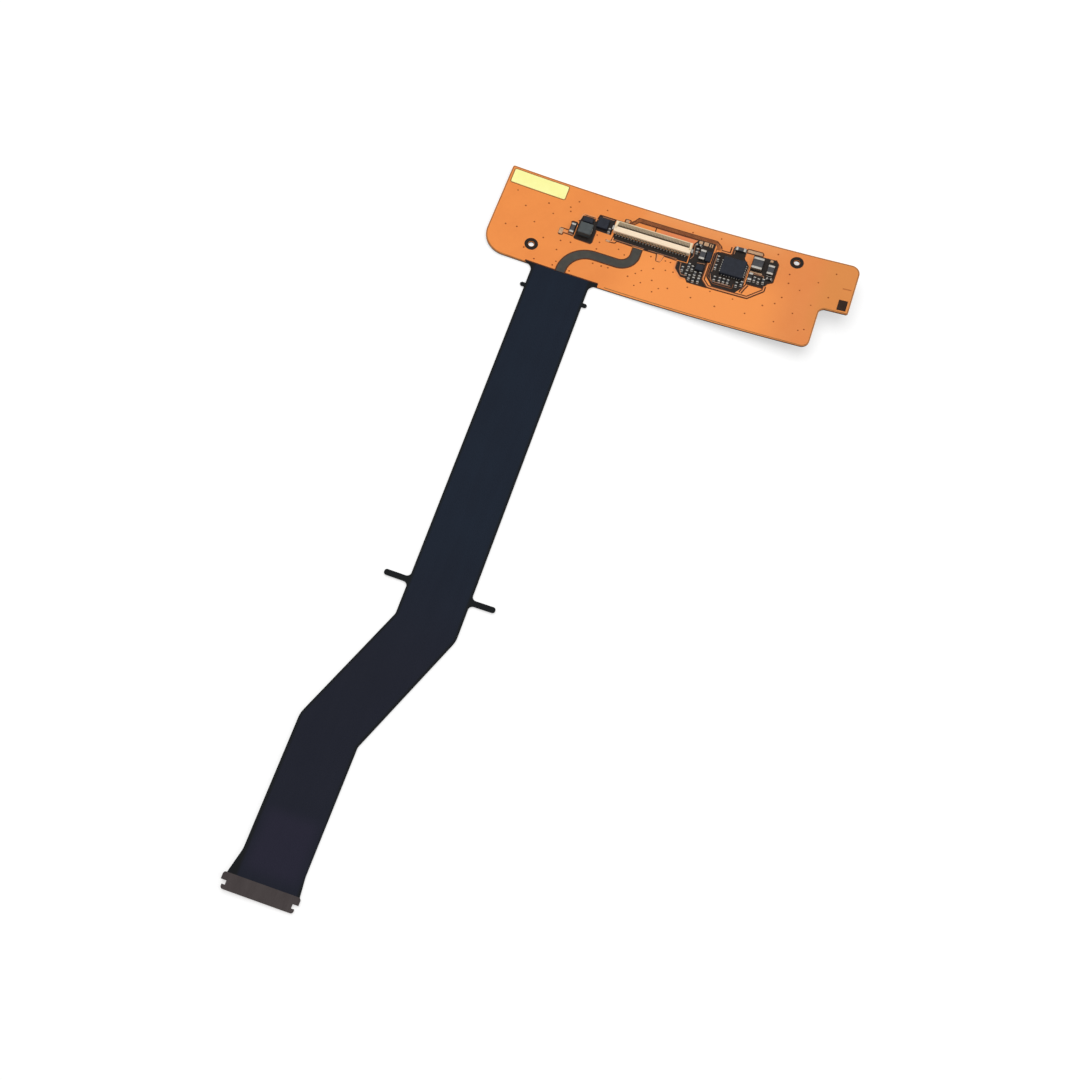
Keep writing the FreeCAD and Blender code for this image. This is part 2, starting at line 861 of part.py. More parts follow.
def make_traces():
    """Raised traces: the bus behind the connector and the single guard traces."""
    start = (("socket_left + 3 * small_along", "bus_level - bus_dip"),
             ("socket_left + 3 * small_along + bus_slope", "bus_level"))
    bend = (("bus_line - bus_bend", "bus_level"), ("bus_line", "bus_level - bus_bend"))
    low = "bus_level - bus_fall - bus_slope"
    right = "bus_line + bus_slope + bus_run"
    long_end = (
        ("bus_line", "bus_level - bus_fall"), ("bus_line + bus_slope", low), (right, low),
        (right + " + bus_hook", low + " + bus_hook"), (right + " + bus_hook", low + " + bus_end"),
    )
    short_end = (("bus_line", "bus_level - bus_stub"),)
    lanes = []
    for lane in range(int(size("bus_count"))):
        path = start + bend + (short_end if lane else long_end)
        lanes.append(ribbon_corners(path, "bus_width", "bus_pitch * %d" % lane))
    printed_film("bus_traces", lanes, RESIST_TOP, RESIST_TOP + " + trace_thick")
    guards = [ribbon_corners(laid_out(runs), "rib_width") for runs in GUARD_TRACES]
    printed_film("guard_traces", guards, RESIST_TOP, RESIST_TOP + " + trace_thick")


def new_body(name):
    """Empty body that becomes a node."""
    return keep(doc.addObject("PartDesign::Body", name), name)


def plane(body, role):
    """Plane or axis of a body's own origin."""
    return next(item for item in body.Origin.OriginFeatures if item.Role == role)


def body_sketch(body, role, name):
    """Sketch on a plane of the body's own origin."""
    sketch = body.newObject("Sketcher::SketchObject", name)
    sketch.AttachmentSupport = [(plane(body, role), "")]
    sketch.MapMode = "FlatFace"
    return sketch


def pad(body, sketch, length, middle=False, reverse=False):
    """Pad of a sketch by a length given as an expression text."""
    feature = body.newObject("PartDesign::Pad", "pad")
    feature.Profile = sketch
    feature.Midplane = middle
    feature.Reversed = reverse
    bind(feature, Length=length)
    return feature


def pocket(body, sketch, length, middle=False, reverse=False):
    """Pocket of a sketch by a length given as an expression text."""
    feature = body.newObject("PartDesign::Pocket", "pocket")
    feature.Profile = sketch
    feature.Midplane = middle
    feature.Reversed = reverse
    bind(feature, Length=length)
    return feature


def row_of(body, feature, axis, pitch, count):
    """Straight row of a feature, with the pitch and the count as expression texts."""
    pattern = body.newObject("PartDesign::LinearPattern", "row")
    pattern.Originals = [feature]
    pattern.Direction = (plane(body, axis), [""])
    bind(pattern, Length="(%s) * (%s - 1)" % (pitch, count), Occurrences=count)
    body.Tip = pattern
    return pattern


def seat(thing, x, y, level, ahead="0", aside="0", above="0"):
    """Stand a piece on the curled board at a place, square to the board there."""
    lean = "((%s - curl_line) / (curl_radius - %s))" % (x, level)
    upright = "sqrt(1 - %s^2)" % lean
    thing.Placement.Rotation = FreeCAD.Rotation(FreeCAD.Vector(0, -1, 0), 1)
    thing.setExpression(".Placement.Rotation.Angle", bound("asin(%s)" % lean))
    thing.setExpression(".Placement.Base.x", bound(
        "%s + (%s) * %s - (%s) * %s" % (x, ahead, upright, above, lean)))
    thing.setExpression(".Placement.Base.y", bound("%s + (%s)" % (y, aside)))
    thing.setExpression(".Placement.Base.z", bound(
        "curl_radius - (curl_radius - %s) * %s + (%s) * %s + (%s) * %s"
        % (level, upright, ahead, lean, above, upright)))


def seat_level(length):
    """Level at which a straight piece of some length clears the curled board."""
    return "(%s + (%s)^2 / (8 * curl_radius))" % (SEAT, length)


def block(name, spot, corner, extent):
    """Box on the board, with its low corner given from the seat of its part."""
    solid = doc.addObject("Part::Box", name)
    bind(solid, Length=extent[0], Width=extent[1], Height=extent[2])
    seat(solid, *spot, *corner)
    return solid


def group(name, members):
    """Node made of several separate solids."""
    compound = doc.addObject("Part::Compound", name)
    compound.Links = members
    return keep(compound, name)


def make_socket_housing(spot):
    """Moulded housing: sill under the lever, knuckle walls, roofed mouth and contact slots."""
    body = new_body("connector_housing")
    front, rear = "-socket_depth / 2", "socket_depth / 2"
    inner = "(socket_length - 2 * socket_wall)"
    sketch = body_sketch(body, "YZ_Plane", "side_profile")
    draw(sketch, [
        (front, "0"),
        (rear, "0"),
        (rear, "socket_height"),
        ("pivot_y - knuckle_radius", "socket_height", "knuckle_radius - 0.001"),
        ("pivot_y - knuckle_radius", "sill_height"),
        (front, "sill_height"),
    ])
    pad(body, sketch, "socket_length", middle=True)
    doc.recompute()
    sketch = body_sketch(body, "YZ_Plane", "lever_trough")
    draw(sketch, box_corners(
        "pivot_y - 2 * knuckle_radius", "sill_height", "roof_start", "socket_height + 1"))
    pocket(body, sketch, inner, middle=True)
    sketch = body_sketch(body, "YZ_Plane", "cable_mouth")
    draw(sketch, [
        ("post_place + post_width + slot_clearance", "mouth_low"),
        (rear + " - roof_edge", "mouth_low"),
        (rear + " - roof_edge", "socket_floor"),
        (rear + " + 1", "socket_floor"),
        (rear + " + 1", "mouth_high"),
        ("post_place + post_width + slot_clearance", "mouth_high"),
    ])
    pocket(body, sketch, inner + " - 2 * mouth_inset", middle=True)
    sketch = body_sketch(body, "YZ_Plane", "journal_bores")
    draw(sketch, ("pivot_y", "pivot_z", "journal_radius + running_gap"))
    pocket(body, sketch, inner + " + 2 * (journal_length + running_gap)", middle=True)
    doc.recompute()
    sketch = body_sketch(body, "YZ_Plane", "contact_slot")
    draw(sketch, box_corners(
        front + " - 1", "socket_floor", rear + " - roof_edge", "socket_height + 1"))
    shift_sketch(sketch, "-contact_pitch * (contact_count - 1) / 2")
    slot = pocket(body, sketch, "contact_width + 2 * slot_clearance", middle=True)
    row_of(body, slot, "X_Axis", "contact_pitch", "contact_count")
    seat(body, *spot)


def shift_sketch(sketch, distance):
    """Move a sketch along the normal of its plane."""
    sketch.setExpression("AttachmentOffset.Base.z", bound(distance))


def contact_outline(rear_foot):
    """Side view of one contact: foot, base bar, post and sprung upper arm."""
    front, rear = "-socket_depth / 2", "socket_depth / 2"
    low = "socket_floor + slot_clearance"
    top = low + " + gauge"
    arm_end = rear + " - roof_edge - slot_clearance"
    base_end = arm_end if not rear_foot else rear + " + 0.05"
    hook = [
        (base_end, top), ("post_place + post_width", top), ("post_place + post_width", "arm_level"),
        (arm_end + " - tip_drop", "arm_level - tip_drop"),
        (arm_end, "arm_level + gauge"), ("post_place", "arm_level + gauge"), ("post_place", top),
    ]
    if rear_foot:
        foot = [
            (front + " + 0.15", top), (front + " + 0.15", low), (rear + " + 0.02", low),
            (rear + " + 0.08", "0"), (rear + " + foot_length", "0"),
            (rear + " + foot_length", "foot_thick"),
        ]
        return foot + hook
    foot = [
        (front + " - foot_length", "foot_thick"), (front + " - foot_length", "0"),
        (front + " - 0.08", "0"), (front + " - 0.02", low), (base_end, low),
    ]
    return foot + hook


def make_socket_contacts(name, rear_foot, first, count, spot):
    """Row of sprung contacts at twice the contact pitch."""
    body = new_body(name)
    sketch = body_sketch(body, "YZ_Plane", name + "_profile")
    draw(sketch, contact_outline(rear_foot))
    shift_sketch(sketch, first)
    contact = pad(body, sketch, "contact_width", middle=True)
    doc.recompute()
    row_of(body, contact, "X_Axis", "2 * contact_pitch", count)
    seat(body, *spot)


def make_socket_lever(spot):
    """Locking lever: flat flap over the sill, web and cam on the pivot, end journals."""
    body = new_body("connector_lever")
    front = "-socket_depth / 2"
    inner = "(socket_length - 2 * socket_wall)"
    shoulder = "pivot_y - knuckle_radius - lever_gap"
    top = "lever_low + lever_thick"
    sketch = body_sketch(body, "YZ_Plane", "flap")
    draw(sketch, [
        (front, "lever_low"),
        (shoulder, "lever_low"),
        (shoulder, top),
        (front, top, "lever_corner"),
    ])
    pad(body, sketch, "socket_length", middle=True)
    doc.recompute()
    sketch = body_sketch(body, "YZ_Plane", "web")
    draw(sketch, [
        (front + " + 2 * lever_corner", "lever_low"),
        ("pivot_y", "lever_low"),
        ("pivot_y", top),
        (front + " + 2 * lever_corner", top),
    ])
    pad(body, sketch, inner + " - 2 * lever_gap", middle=True)
    sketch = body_sketch(body, "YZ_Plane", "cam")
    draw(sketch, ("pivot_y", "pivot_z", "cam_radius"))
    pad(body, sketch, inner + " - 2 * lever_gap", middle=True)
    sketch = body_sketch(body, "YZ_Plane", "journals")
    draw(sketch, ("pivot_y", "pivot_z", "journal_radius"))
    body.Tip = pad(body, sketch, inner + " + 2 * journal_length", middle=True)
    seat(body, *spot)


def make_solder_tabs(spot):
    """Angle-shaped tabs that hold both ends of the connector down."""
    tabs = []
    width, side = "solder_tab_width", "-solder_tab_width / 2"
    for sign in (-1, 1):
        out = "%d * (socket_length / 2 + solder_gap)" % sign
        wall = out if sign > 0 else out + " - solder_tab_thick"
        foot = out + " + solder_tab_thick" if sign > 0 else out + " - solder_tab_foot"
        tabs.append(join("solder_tab", [
            block("tab_wall", spot, (wall, side, "0"), ("solder_tab_thick", width, "solder_tab_height")),
            block("tab_foot", spot, (foot if sign < 0 else out, side, "0"),
                  ("solder_tab_foot", width, "solder_tab_thick")),
        ]))
    group("connector_solder_tabs", tabs)


def join(name, members):
    """One solid from several that overlap."""
    fused = doc.addObject("Part::MultiFuse", name)
    fused.Shapes = members
    return fused


def make_connector():
    """Cable connector with all its pieces, seated as one unit."""
    spot = ("socket_x", "socket_y", seat_level("socket_length + 2 * solder_tab_foot"))
    row = "contact_pitch * (contact_count - 1) / 2"
    make_socket_housing(spot)
    make_socket_contacts("connector_front_contacts", False, "-" + row,
                         "(contact_count + 1) / 2", spot)
    make_socket_contacts("connector_rear_contacts", True, "contact_pitch - " + row,
                         "(contact_count - 1) / 2", spot)
    make_socket_lever(spot)
    make_solder_tabs(spot)


def make_chip(name, part, x, y):
    """Moulded chip with bevelled upper edges, its sizes under the part's name."""
    body = new_body(name)
    sketch = body_sketch(body, "XY_Plane", name + "_plan")
    draw(sketch, box_corners(
        "-{0}_length / 2".format(part), "-{0}_width / 2".format(part),
        "{0}_length / 2".format(part), "{0}_width / 2".format(part),
    ))
    feature = pad(body, sketch, part + "_height")
    doc.recompute()
    faces = feature.Shape.Faces
    top = max(range(len(faces)), key=lambda index: faces[index].CenterOfMass.z)
    bevel = body.newObject("PartDesign::Chamfer", "bevel")
    bevel.Base = (feature, ["Face%d" % (top + 1)])
    bind(bevel, Size="chip_bevel")
    body.Tip = bevel
    spot = (x, y, seat_level(part + "_length"))
    seat(body, *spot)
    return spot


def make_inductor():
    """Power inductor: pressed block held between two terminal plates."""
    spot = make_chip("power_inductor", "inductor", counted("socket_left", -5.14),
                     counted("socket_y", -2.76))
    half = "inductor_length / 2"
    side = "-inductor_width / 4"
    extent = ("plating_thick", "inductor_width / 2", "inductor_height / 2")
    group("inductor_terminals", [
        block("terminal_left", spot, ("-%s - plating_thick" % half, side, "0"), extent),
        block("terminal_right", spot, (half, side, "0"), extent),
    ])


def make_driver_leads(spot):
    """Rows of leads that stand out on all four sides of the driver chip."""
    body = new_body("driver_chip_leads")
    rows = (
        ("Y_Axis", "XZ_Plane", "driver_length", "driver_leads_short", True),
        ("X_Axis", "YZ_Plane", "driver_width", "driver_leads_long", False),
    )
    for axis, mirror, across, count, sideways in rows:
        start = "-driver_lead_pitch * (%s - 1) / 2" % count
        near = "%s / 2" % across
        long = (near, start + " - driver_lead_width / 2",
                near + " + driver_lead_reach", start + " + driver_lead_width / 2")
        if not sideways:
            long = (long[1], long[0], long[3], long[2])
        for sign in (1, -1):
            flipped = long if sign > 0 else flip(long, sideways)
            sketch = body_sketch(body, "XY_Plane", "lead")
            draw(sketch, box_corners(*flipped))
            lead = pad(body, sketch, "driver_lead_height")
            row_of(body, lead, axis, "driver_lead_pitch", count)
    seat(body, *spot)


def make_chips():
    """All the chips, and the driver's leads."""
    spots = {}
    for name, part, place, across, up in CHIPS:
        spots[name] = make_chip(name, part, counted(place, across), counted("socket_y", up))
    make_driver_leads(spots["driver_chip"])


def flip(rectangle, sideways):
    """Rectangle carried over to the opposite side of the chip."""
    left, low, right, top = rectangle
    if sideways:
        return "-(%s)" % right, low, "-(%s)" % left, top
    return left, "-(%s)" % top, right, "-(%s)" % low


def make_two_ended(groups, place, kind, direction, x, y, along, across, tall, cap):
    """Body and two end caps of one chip capacitor or resistor."""
    level = seat_level(along if direction == "x" else across)
    spot = (counted(place, x), counted("socket_y", y), level)
    thin = "(%s) - 2 * cap_proud" % across
    low = "%s - 2 * cap_proud" % tall
    half = "(%s) / 2" % along

    def piece(name, start, length, width, height, above):
        """Block that starts at a place along the part."""
        corner = (start, "-(%s) / 2" % width, above)
        extent = (length, width, height)
        if direction == "y":
            corner = (corner[1], corner[0], above)
            extent = (width, length, height)
        return block(name, spot, corner, extent)

    groups[kind].append(piece(
        kind + "_body", "%s - %s" % (cap, half), "%s - 2 * %s" % (along, cap),
        thin, low, "cap_proud"))
    for start in ("-" + half, "%s - %s" % (half, cap)):
        groups[kind + "_caps"].append(piece(
            kind + "_cap", start, cap, across, tall, "0"))


def make_two_ended_parts():
    """All chip capacitors and resistors, in four nodes."""
    groups = {"ceramic": [], "ceramic_caps": [], "resistor": [], "resistor_caps": []}
    for part in LARGE_PARTS:
        extent = ["%s * small_along" % number for number in part[5:]]
        make_two_ended(groups, *part[:5], *extent)
    for part in SMALL_PARTS:
        make_two_ended(groups, *part, "small_along", "small_across", "small_tall", "small_cap")
    group("ceramic_capacitor_bodies", groups["ceramic"])
    group("ceramic_capacitor_ends", groups["ceramic_caps"])
    group("resistor_bodies", groups["resistor"])
    group("resistor_ends", groups["resistor_caps"])


def check_document():
    """Stop where an object failed or a sub-part has no sound shape."""
    for thing in doc.Objects:
        if "Invalid" in thing.State or "Error" in thing.State:
            raise RuntimeError("%s has failed" % thing.Label)
    for node in nodes:
        shape = node.Shape
        if shape.isNull() or not shape.isValid() or not shape.Solids:
            raise RuntimeError("%s has no sound shape" % node.Label)


def write_nodes():
    """Write each sub-part to its own file."""
    os.makedirs("parts", exist_ok=True)
    for node in nodes:
        node.Shape.exportStep("parts/%s.step" % node.Label)
        print("%-26s %3d solids %10.4f mm3" % (
            node.Label, len(node.Shape.Solids), node.Shape.Volume))


fill_sheet()
make_laminate()
make_end_contacts()
make_printed_areas()
make_traces()
make_connector()
make_inductor()
make_chips()
make_two_ended_parts()
doc.recompute()
check_document()
write_nodes()
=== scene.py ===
"""Looks of the flexible circuit: films, inks, plating, moulded parts, solder and the studio.

Every length is written in millimetres and turned to metres where a mesh is made. The
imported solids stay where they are; the pieces built here rest on them.
"""

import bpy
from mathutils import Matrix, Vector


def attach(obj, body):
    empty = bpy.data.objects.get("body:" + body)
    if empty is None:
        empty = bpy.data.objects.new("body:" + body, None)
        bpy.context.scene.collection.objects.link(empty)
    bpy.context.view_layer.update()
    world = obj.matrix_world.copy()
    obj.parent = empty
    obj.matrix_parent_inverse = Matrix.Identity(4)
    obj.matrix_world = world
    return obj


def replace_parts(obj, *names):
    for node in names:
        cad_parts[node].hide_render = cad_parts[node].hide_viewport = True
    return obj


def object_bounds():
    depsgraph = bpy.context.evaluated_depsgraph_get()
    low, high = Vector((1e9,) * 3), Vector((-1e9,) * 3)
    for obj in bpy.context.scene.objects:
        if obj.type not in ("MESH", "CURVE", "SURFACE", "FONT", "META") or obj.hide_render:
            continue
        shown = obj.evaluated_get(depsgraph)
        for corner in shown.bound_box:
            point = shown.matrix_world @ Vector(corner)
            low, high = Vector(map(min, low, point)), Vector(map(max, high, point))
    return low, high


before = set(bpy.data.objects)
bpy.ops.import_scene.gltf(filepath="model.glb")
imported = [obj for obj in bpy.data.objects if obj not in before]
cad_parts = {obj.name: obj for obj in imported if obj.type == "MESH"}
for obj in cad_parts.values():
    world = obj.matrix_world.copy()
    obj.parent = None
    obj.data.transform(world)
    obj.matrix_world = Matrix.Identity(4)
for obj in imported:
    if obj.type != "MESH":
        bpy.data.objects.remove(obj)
CAD_BOX = [list(corner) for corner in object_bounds()]

import logging
import math
from dataclasses import dataclass, field
from enum import Enum
from functools import cache

import bmesh
import bpy
import numpy as np
from mathutils import Matrix

log = logging.getLogger("flexible_circuit")

MM = 0.001
CIRCUIT = "circuit"
SHARP_EDGE = math.radians(50)
HIGHEST = CAD_BOX[1][2] / MM

# Shader noise keeps close to its middle value; this spreads it to about -1 to 1
NOISE_SPREAD = 2.6
# Number of finer layers of a smooth noise, of a rich one and of a cloudy one
SMOOTH = 2.0
RICH = 3.0
CLOUDY = 4.0
# Noise value at which a colour has drifted all the way
FULL_DRIFT = 0.9
# Shares of the fine grain that reach the colour and the roughness
GRAIN_TINT = 0.12
GRAIN_GLOSS = 0.05

Pair = tuple[float, float]
Triple = tuple[float, float, float]
Colour = Triple
Place = Triple
Point = Pair
# Corners of a line: X, Y, and the corner's own radius where it has one
Route = tuple[tuple[float, ...], ...]


def tint(red: float, green: float, blue: float) -> Colour:
    """Linear colour of a display colour, by the curve of a standard screen.

    Args:
        red: Red from 0 to 255, as it looks on a screen.
        green: Green from 0 to 255.
        blue: Blue from 0 to 255.

    Returns:
        The three linear parts, from 0 to 1.
    """
    parts = []
    for part in (red, green, blue):
        share = part / 255.0
        parts.append(share / 12.92 if share <= 0.04045 else ((share + 0.055) / 1.055) ** 2.4)
    return parts[0], parts[1], parts[2]


# Shader graphs


class Field:
    """A varying value in a material's graph, with the usual arithmetic."""

    def __init__(self, graph: "Graph", socket: bpy.types.NodeSocket) -> None:
        """Keep the graph and the socket that carries the value."""
        self.graph = graph
        self.socket = socket

    def _with(self, operation: str, other: "Field | float", swapped: bool = False) -> "Field":
        """Add a maths node over this value and another.

        Args:
            operation: Name of the node's operation.
            other: Second value.
            swapped: True where the other value comes first.

        Returns:
            The result.
        """
        first, second = (other, self) if swapped else (self, other)
        node = self.graph.node("ShaderNodeMath", {"operation": operation}, {0: first, 1: second})
        return self.graph.value(node)

    def __add__(self, other: "Field | float") -> "Field":
        """Sum, also with a plain number first."""
        return self._with("ADD", other)

    def __sub__(self, other: "Field | float") -> "Field":
        """Difference."""
        return self._with("SUBTRACT", other)

    def __rsub__(self, other: float) -> "Field":
        """Difference with a plain number first."""
        return self._with("SUBTRACT", other, swapped=True)

    def __mul__(self, other: "Field | float") -> "Field":
        """Product, also with a plain number first."""
        return self._with("MULTIPLY", other)

    __radd__ = __add__
    __rmul__ = __mul__

    def wave(self) -> "Field":
        """Sine."""
        return self._with("SINE", 0.0)

    def at_least(self, other: "Field | float") -> "Field":
        """The larger of two values."""
        return self._with("MAXIMUM", other)

    def ease(self, low: float, high: float, kind: str = "SMOOTHSTEP") -> "Field":
        """Step from 0 at low to 1 at high.

        Args:
            low: Value at which the step starts.
            high: Value at which it ends.
            kind: SMOOTHSTEP for a smooth step, LINEAR for a straight one.

        Returns:
            The stepped value.
        """
        node = self.graph.node(
            "ShaderNodeMapRange", {"interpolation_type": kind},
            {"Value": self, "From Min": low, "From Max": high})
        return self.graph.value(node)

    def within(self, low: float, high: float, blur: float) -> "Field":
        """1 from low to high, falling smoothly to 0 over the blur's width beyond both."""
        return self.ease(low - blur, low) * (1.0 - self.ease(high, high + blur))


Value = Field | float | Triple


class Graph:
    """Nodes of one material or of the world."""

    def __init__(self, tree: bpy.types.NodeTree) -> None:
        """Start with an empty tree."""
        self.tree = tree
        self.tree.nodes.clear()
        self._place: Field | None = None

    def node(
        self, kind: str, settings: dict[str, str] | None = None,
        sockets: dict[str | int, Value] | None = None,
    ) -> bpy.types.Node:
        """Add a node, set its options, and then give its sockets values or links.

        Args:
            kind: Type of the node.
            settings: Its options by name.
            sockets: Value or link of each socket, by the socket's name or number.

        Returns:
            The node.
        """
        made = self.tree.nodes.new(kind)
        for name, setting in (settings or {}).items():
            setattr(made, name, setting)
        for name, value in (sockets or {}).items():
            self.feed(made.inputs[name], value)
        return made

    def feed(self, socket: bpy.types.NodeSocket, value: Value) -> None:
        """Give a socket a link or a fixed number, vector or colour."""
        if isinstance(value, Field):
            self.tree.links.new(value.socket, socket)
        elif isinstance(value, tuple):
            socket.default_value = (*value, 1.0)[:len(socket.default_value)]
        else:
            socket.default_value = value

    def value(self, node: bpy.types.Node, output: str | int = 0) -> Field:
        """One of a node's outputs as a value."""
        return Field(self, node.outputs[output])

    def place(self) -> Field:
        """Place on the object in millimetres, as a vector."""
        if self._place is None:
            spot = self.value(self.node("ShaderNodeTexCoord"), "Object")
            self._place = self.value(self.node(
                "ShaderNodeVectorMath", {"operation": "SCALE"}, {0: spot, "Scale": 1.0 / MM}))
        return self._place

    def axes(self) -> tuple[Field, Field, Field]:
        """The three parts of the place on the object, in millimetres."""
        split = self.node("ShaderNodeSeparateXYZ", sockets={0: self.place()})
        return self.value(split, 0), self.value(split, 1), self.value(split, 2)

    def noise(self, grain: float, detail: float = RICH, stretch: Triple = (1, 1, 1)) -> Field:
        """Soft noise between about -1 and 1.

        Args:
            grain: Size of its patches in millimetres.
            detail: Number of finer layers.
            stretch: How much longer the patches are along each axis.

        Returns:
            The noise.
        """
        scale = tuple(1.0 / (grain * part) for part in stretch)
        spread = self.node(
            "ShaderNodeVectorMath", {"operation": "MULTIPLY"}, {0: self.place(), 1: scale})
        texture = self.node(
            "ShaderNodeTexNoise",
            sockets={"Vector": self.value(spread), "Scale": 1.0, "Detail": detail})
        return (self.value(texture) - 0.5) * NOISE_SPREAD

    def cells(self, grain: float) -> Field:
        """Distance to the nearest of scattered points, in shares of the grain's size."""
        spread = self.node(
            "ShaderNodeVectorMath", {"operation": "SCALE"}, {0: self.place(), "Scale": 1.0 / grain})
        texture = self.node(
            "ShaderNodeTexVoronoi", sockets={"Vector": self.value(spread), "Scale": 1.0})
        return self.value(texture, "Distance")

    def blend(self, share: Field, low: "Colour | Field", high: "Colour | Field") -> Field:
        """Colour between two others.

        Args:
            share: 0 for the first colour, 1 for the second.
            low: First colour.
            high: Second colour.

        Returns:
            The blended colour.
        """
        node = self.node("ShaderNodeMix", {"data_type": "RGBA"}, {0: share, 6: low, 7: high})
        return self.value(node, 2)


class SurfaceGraph(Graph):
    """Graph of one material, round its surface shader."""

    def __init__(self, name: str) -> None:
        """Start a material of this name with a surface shader."""
        self.material = bpy.data.materials.new(name)
        self.material.use_nodes = True
        super().__init__(self.material.node_tree)
        self.shader = self.node("ShaderNodeBsdfPrincipled")
        self.node("ShaderNodeOutputMaterial", sockets={"Surface": self.value(self.shader)})

    def relief(self, height: Field, depth: float) -> None:
        """Raise the surface by a height field.

        Args:
            height: Height in shares of the depth.
            depth: Depth of the relief in millimetres.
        """
        node = self.node(
            "ShaderNodeBump", sockets={"Strength": 1.0, "Distance": depth * MM, "Height": height})
        self.feed(self.shader.inputs["Normal"], self.value(node))

    def finish(self, **values: Value) -> bpy.types.Material:
        """Set the shader's sockets, with spaces in their names written as underscores."""
        for name, value in values.items():
            self.feed(self.shader.inputs[name.replace("_", " ")], value)
        return self.material


# Finishes


@dataclass(frozen=True)
class TintedPatch:
    """Soft-edged rectangle of another colour on a finish.

    Attributes:
        left: X of its left edge in millimetres.
        low: Y of its lower edge.
        right: X of its right edge.
        top: Y of its upper edge.
        colour: Its colour.
        blur: Width of its soft edges.
        share: Strength of the tint.
    """

    left: float
    low: float
    right: float
    top: float
    colour: Colour
    blur: float = 0.3
    share: float = 1.0

    def over(self, graph: Graph, ground: Field) -> Field:
        """Ground colour with the patch laid over it."""
        x, y, _ = graph.axes()
        across = x.within(self.left, self.right, self.blur)
        along = y.within(self.low, self.top, self.blur)
        return graph.blend(across * along * self.share, ground, self.colour)


@dataclass(frozen=True)
class Finish:
    """A finish with a colour that drifts, a fine grain and a varying gloss.

    Attributes:
        name: Name of the material.
        colour: Main colour.
        shade: Colour of its darker patches.
        patch: Size of the patches in millimetres.
        grain: Size of the fine grain in millimetres.
        depth: Depth of the grain in millimetres.
        gloss: Roughness.
        metal: 1 for bare metal.
        coat: Weight of a clear coat.
        gleam: Strength of the reflection off the bare surface, 0.5 for plain plastic.
        stretch: How much longer patches and grain are along each axis.
        tints: Places where the colour differs.
    """

    name: str
    colour: Colour
    shade: Colour
    patch: float = 2.0
    grain: float = 0.12
    depth: float = 0.004
    gloss: float = 0.5
    metal: float = 0.0
    coat: float = 0.0
    gleam: float = 0.5
    stretch: Triple = (1, 1, 1)
    tints: tuple[TintedPatch, ...] = ()

    def colours(self, graph: Graph, grain: Field) -> Field:
        """Colour over the surface."""
        drift = graph.noise(self.patch, stretch=self.stretch).ease(-FULL_DRIFT, FULL_DRIFT)
        return graph.blend(drift + grain * GRAIN_TINT, self.colour, self.shade)

    def height(self, graph: Graph, grain: Field) -> Field:
        """Relief of the surface, in shares of the depth."""
        return grain

    def build(self) -> bpy.types.Material:
        """Make the material."""
        graph = SurfaceGraph(self.name)
        grain = graph.noise(self.grain, SMOOTH, self.stretch)
        graph.relief(self.height(graph, grain), self.depth)
        colour = self.colours(graph, grain)
        for patch in self.tints:
            colour = patch.over(graph, colour)
        return graph.finish(
            Base_Color=colour,
            Roughness=grain * GRAIN_GLOSS + self.gloss,
            Metallic=self.metal,
            Coat_Weight=self.coat,
            Specular_IOR_Level=self.gleam,
        )


@dataclass(frozen=True)
class CoverFilm(Finish):
    """Orange cover film: warmer at the left and cloudy, with slow waves.

    Attributes:
        right_colour: Its colour at the right.
        fade: X at which the left colour ends and the right one is reached.
        clouds: Size of the darker clouds, and their strength.
        cloud_edge: Noise values at which a cloud begins and is full.
        mottle: Size of the finer mottling, and its strength.
        grain_tint: Share of the fine grain that reaches the colour.
        grain_height: Share of the grain in the relief.
        waves: Spacing of the bonded film's slow waves, and their height.
    """

    right_colour: Colour = tint(225, 138, 76)
    fade: Pair = (-8.0, 58.0)
    clouds: Pair = (5.0, 0.35)
    cloud_edge: Pair = (-1.0, 1.3)
    mottle: Pair = (0.9, 0.08)
    grain_tint: float = 0.05
    grain_height: float = 0.5
    waves: Pair = (2.4, 2.0)

    def colours(self, graph: Graph, grain: Field) -> Field:
        """Orange that drifts from left to right, with cloudy darker patches."""
        base = graph.blend(graph.axes()[0].ease(*self.fade), self.colour, self.right_colour)
        size, share = self.clouds
        clouds = graph.noise(size, CLOUDY).ease(*self.cloud_edge) * share
        mottle = graph.noise(self.mottle[0]) * self.mottle[1]
        return graph.blend(clouds + mottle + grain * self.grain_tint, base, self.shade)

    def height(self, graph: Graph, grain: Field) -> Field:
        """Fine grain over slow waves of the bonded film."""
        spacing, rise = self.waves
        return grain * self.grain_height + graph.noise(spacing, SMOOTH) * rise


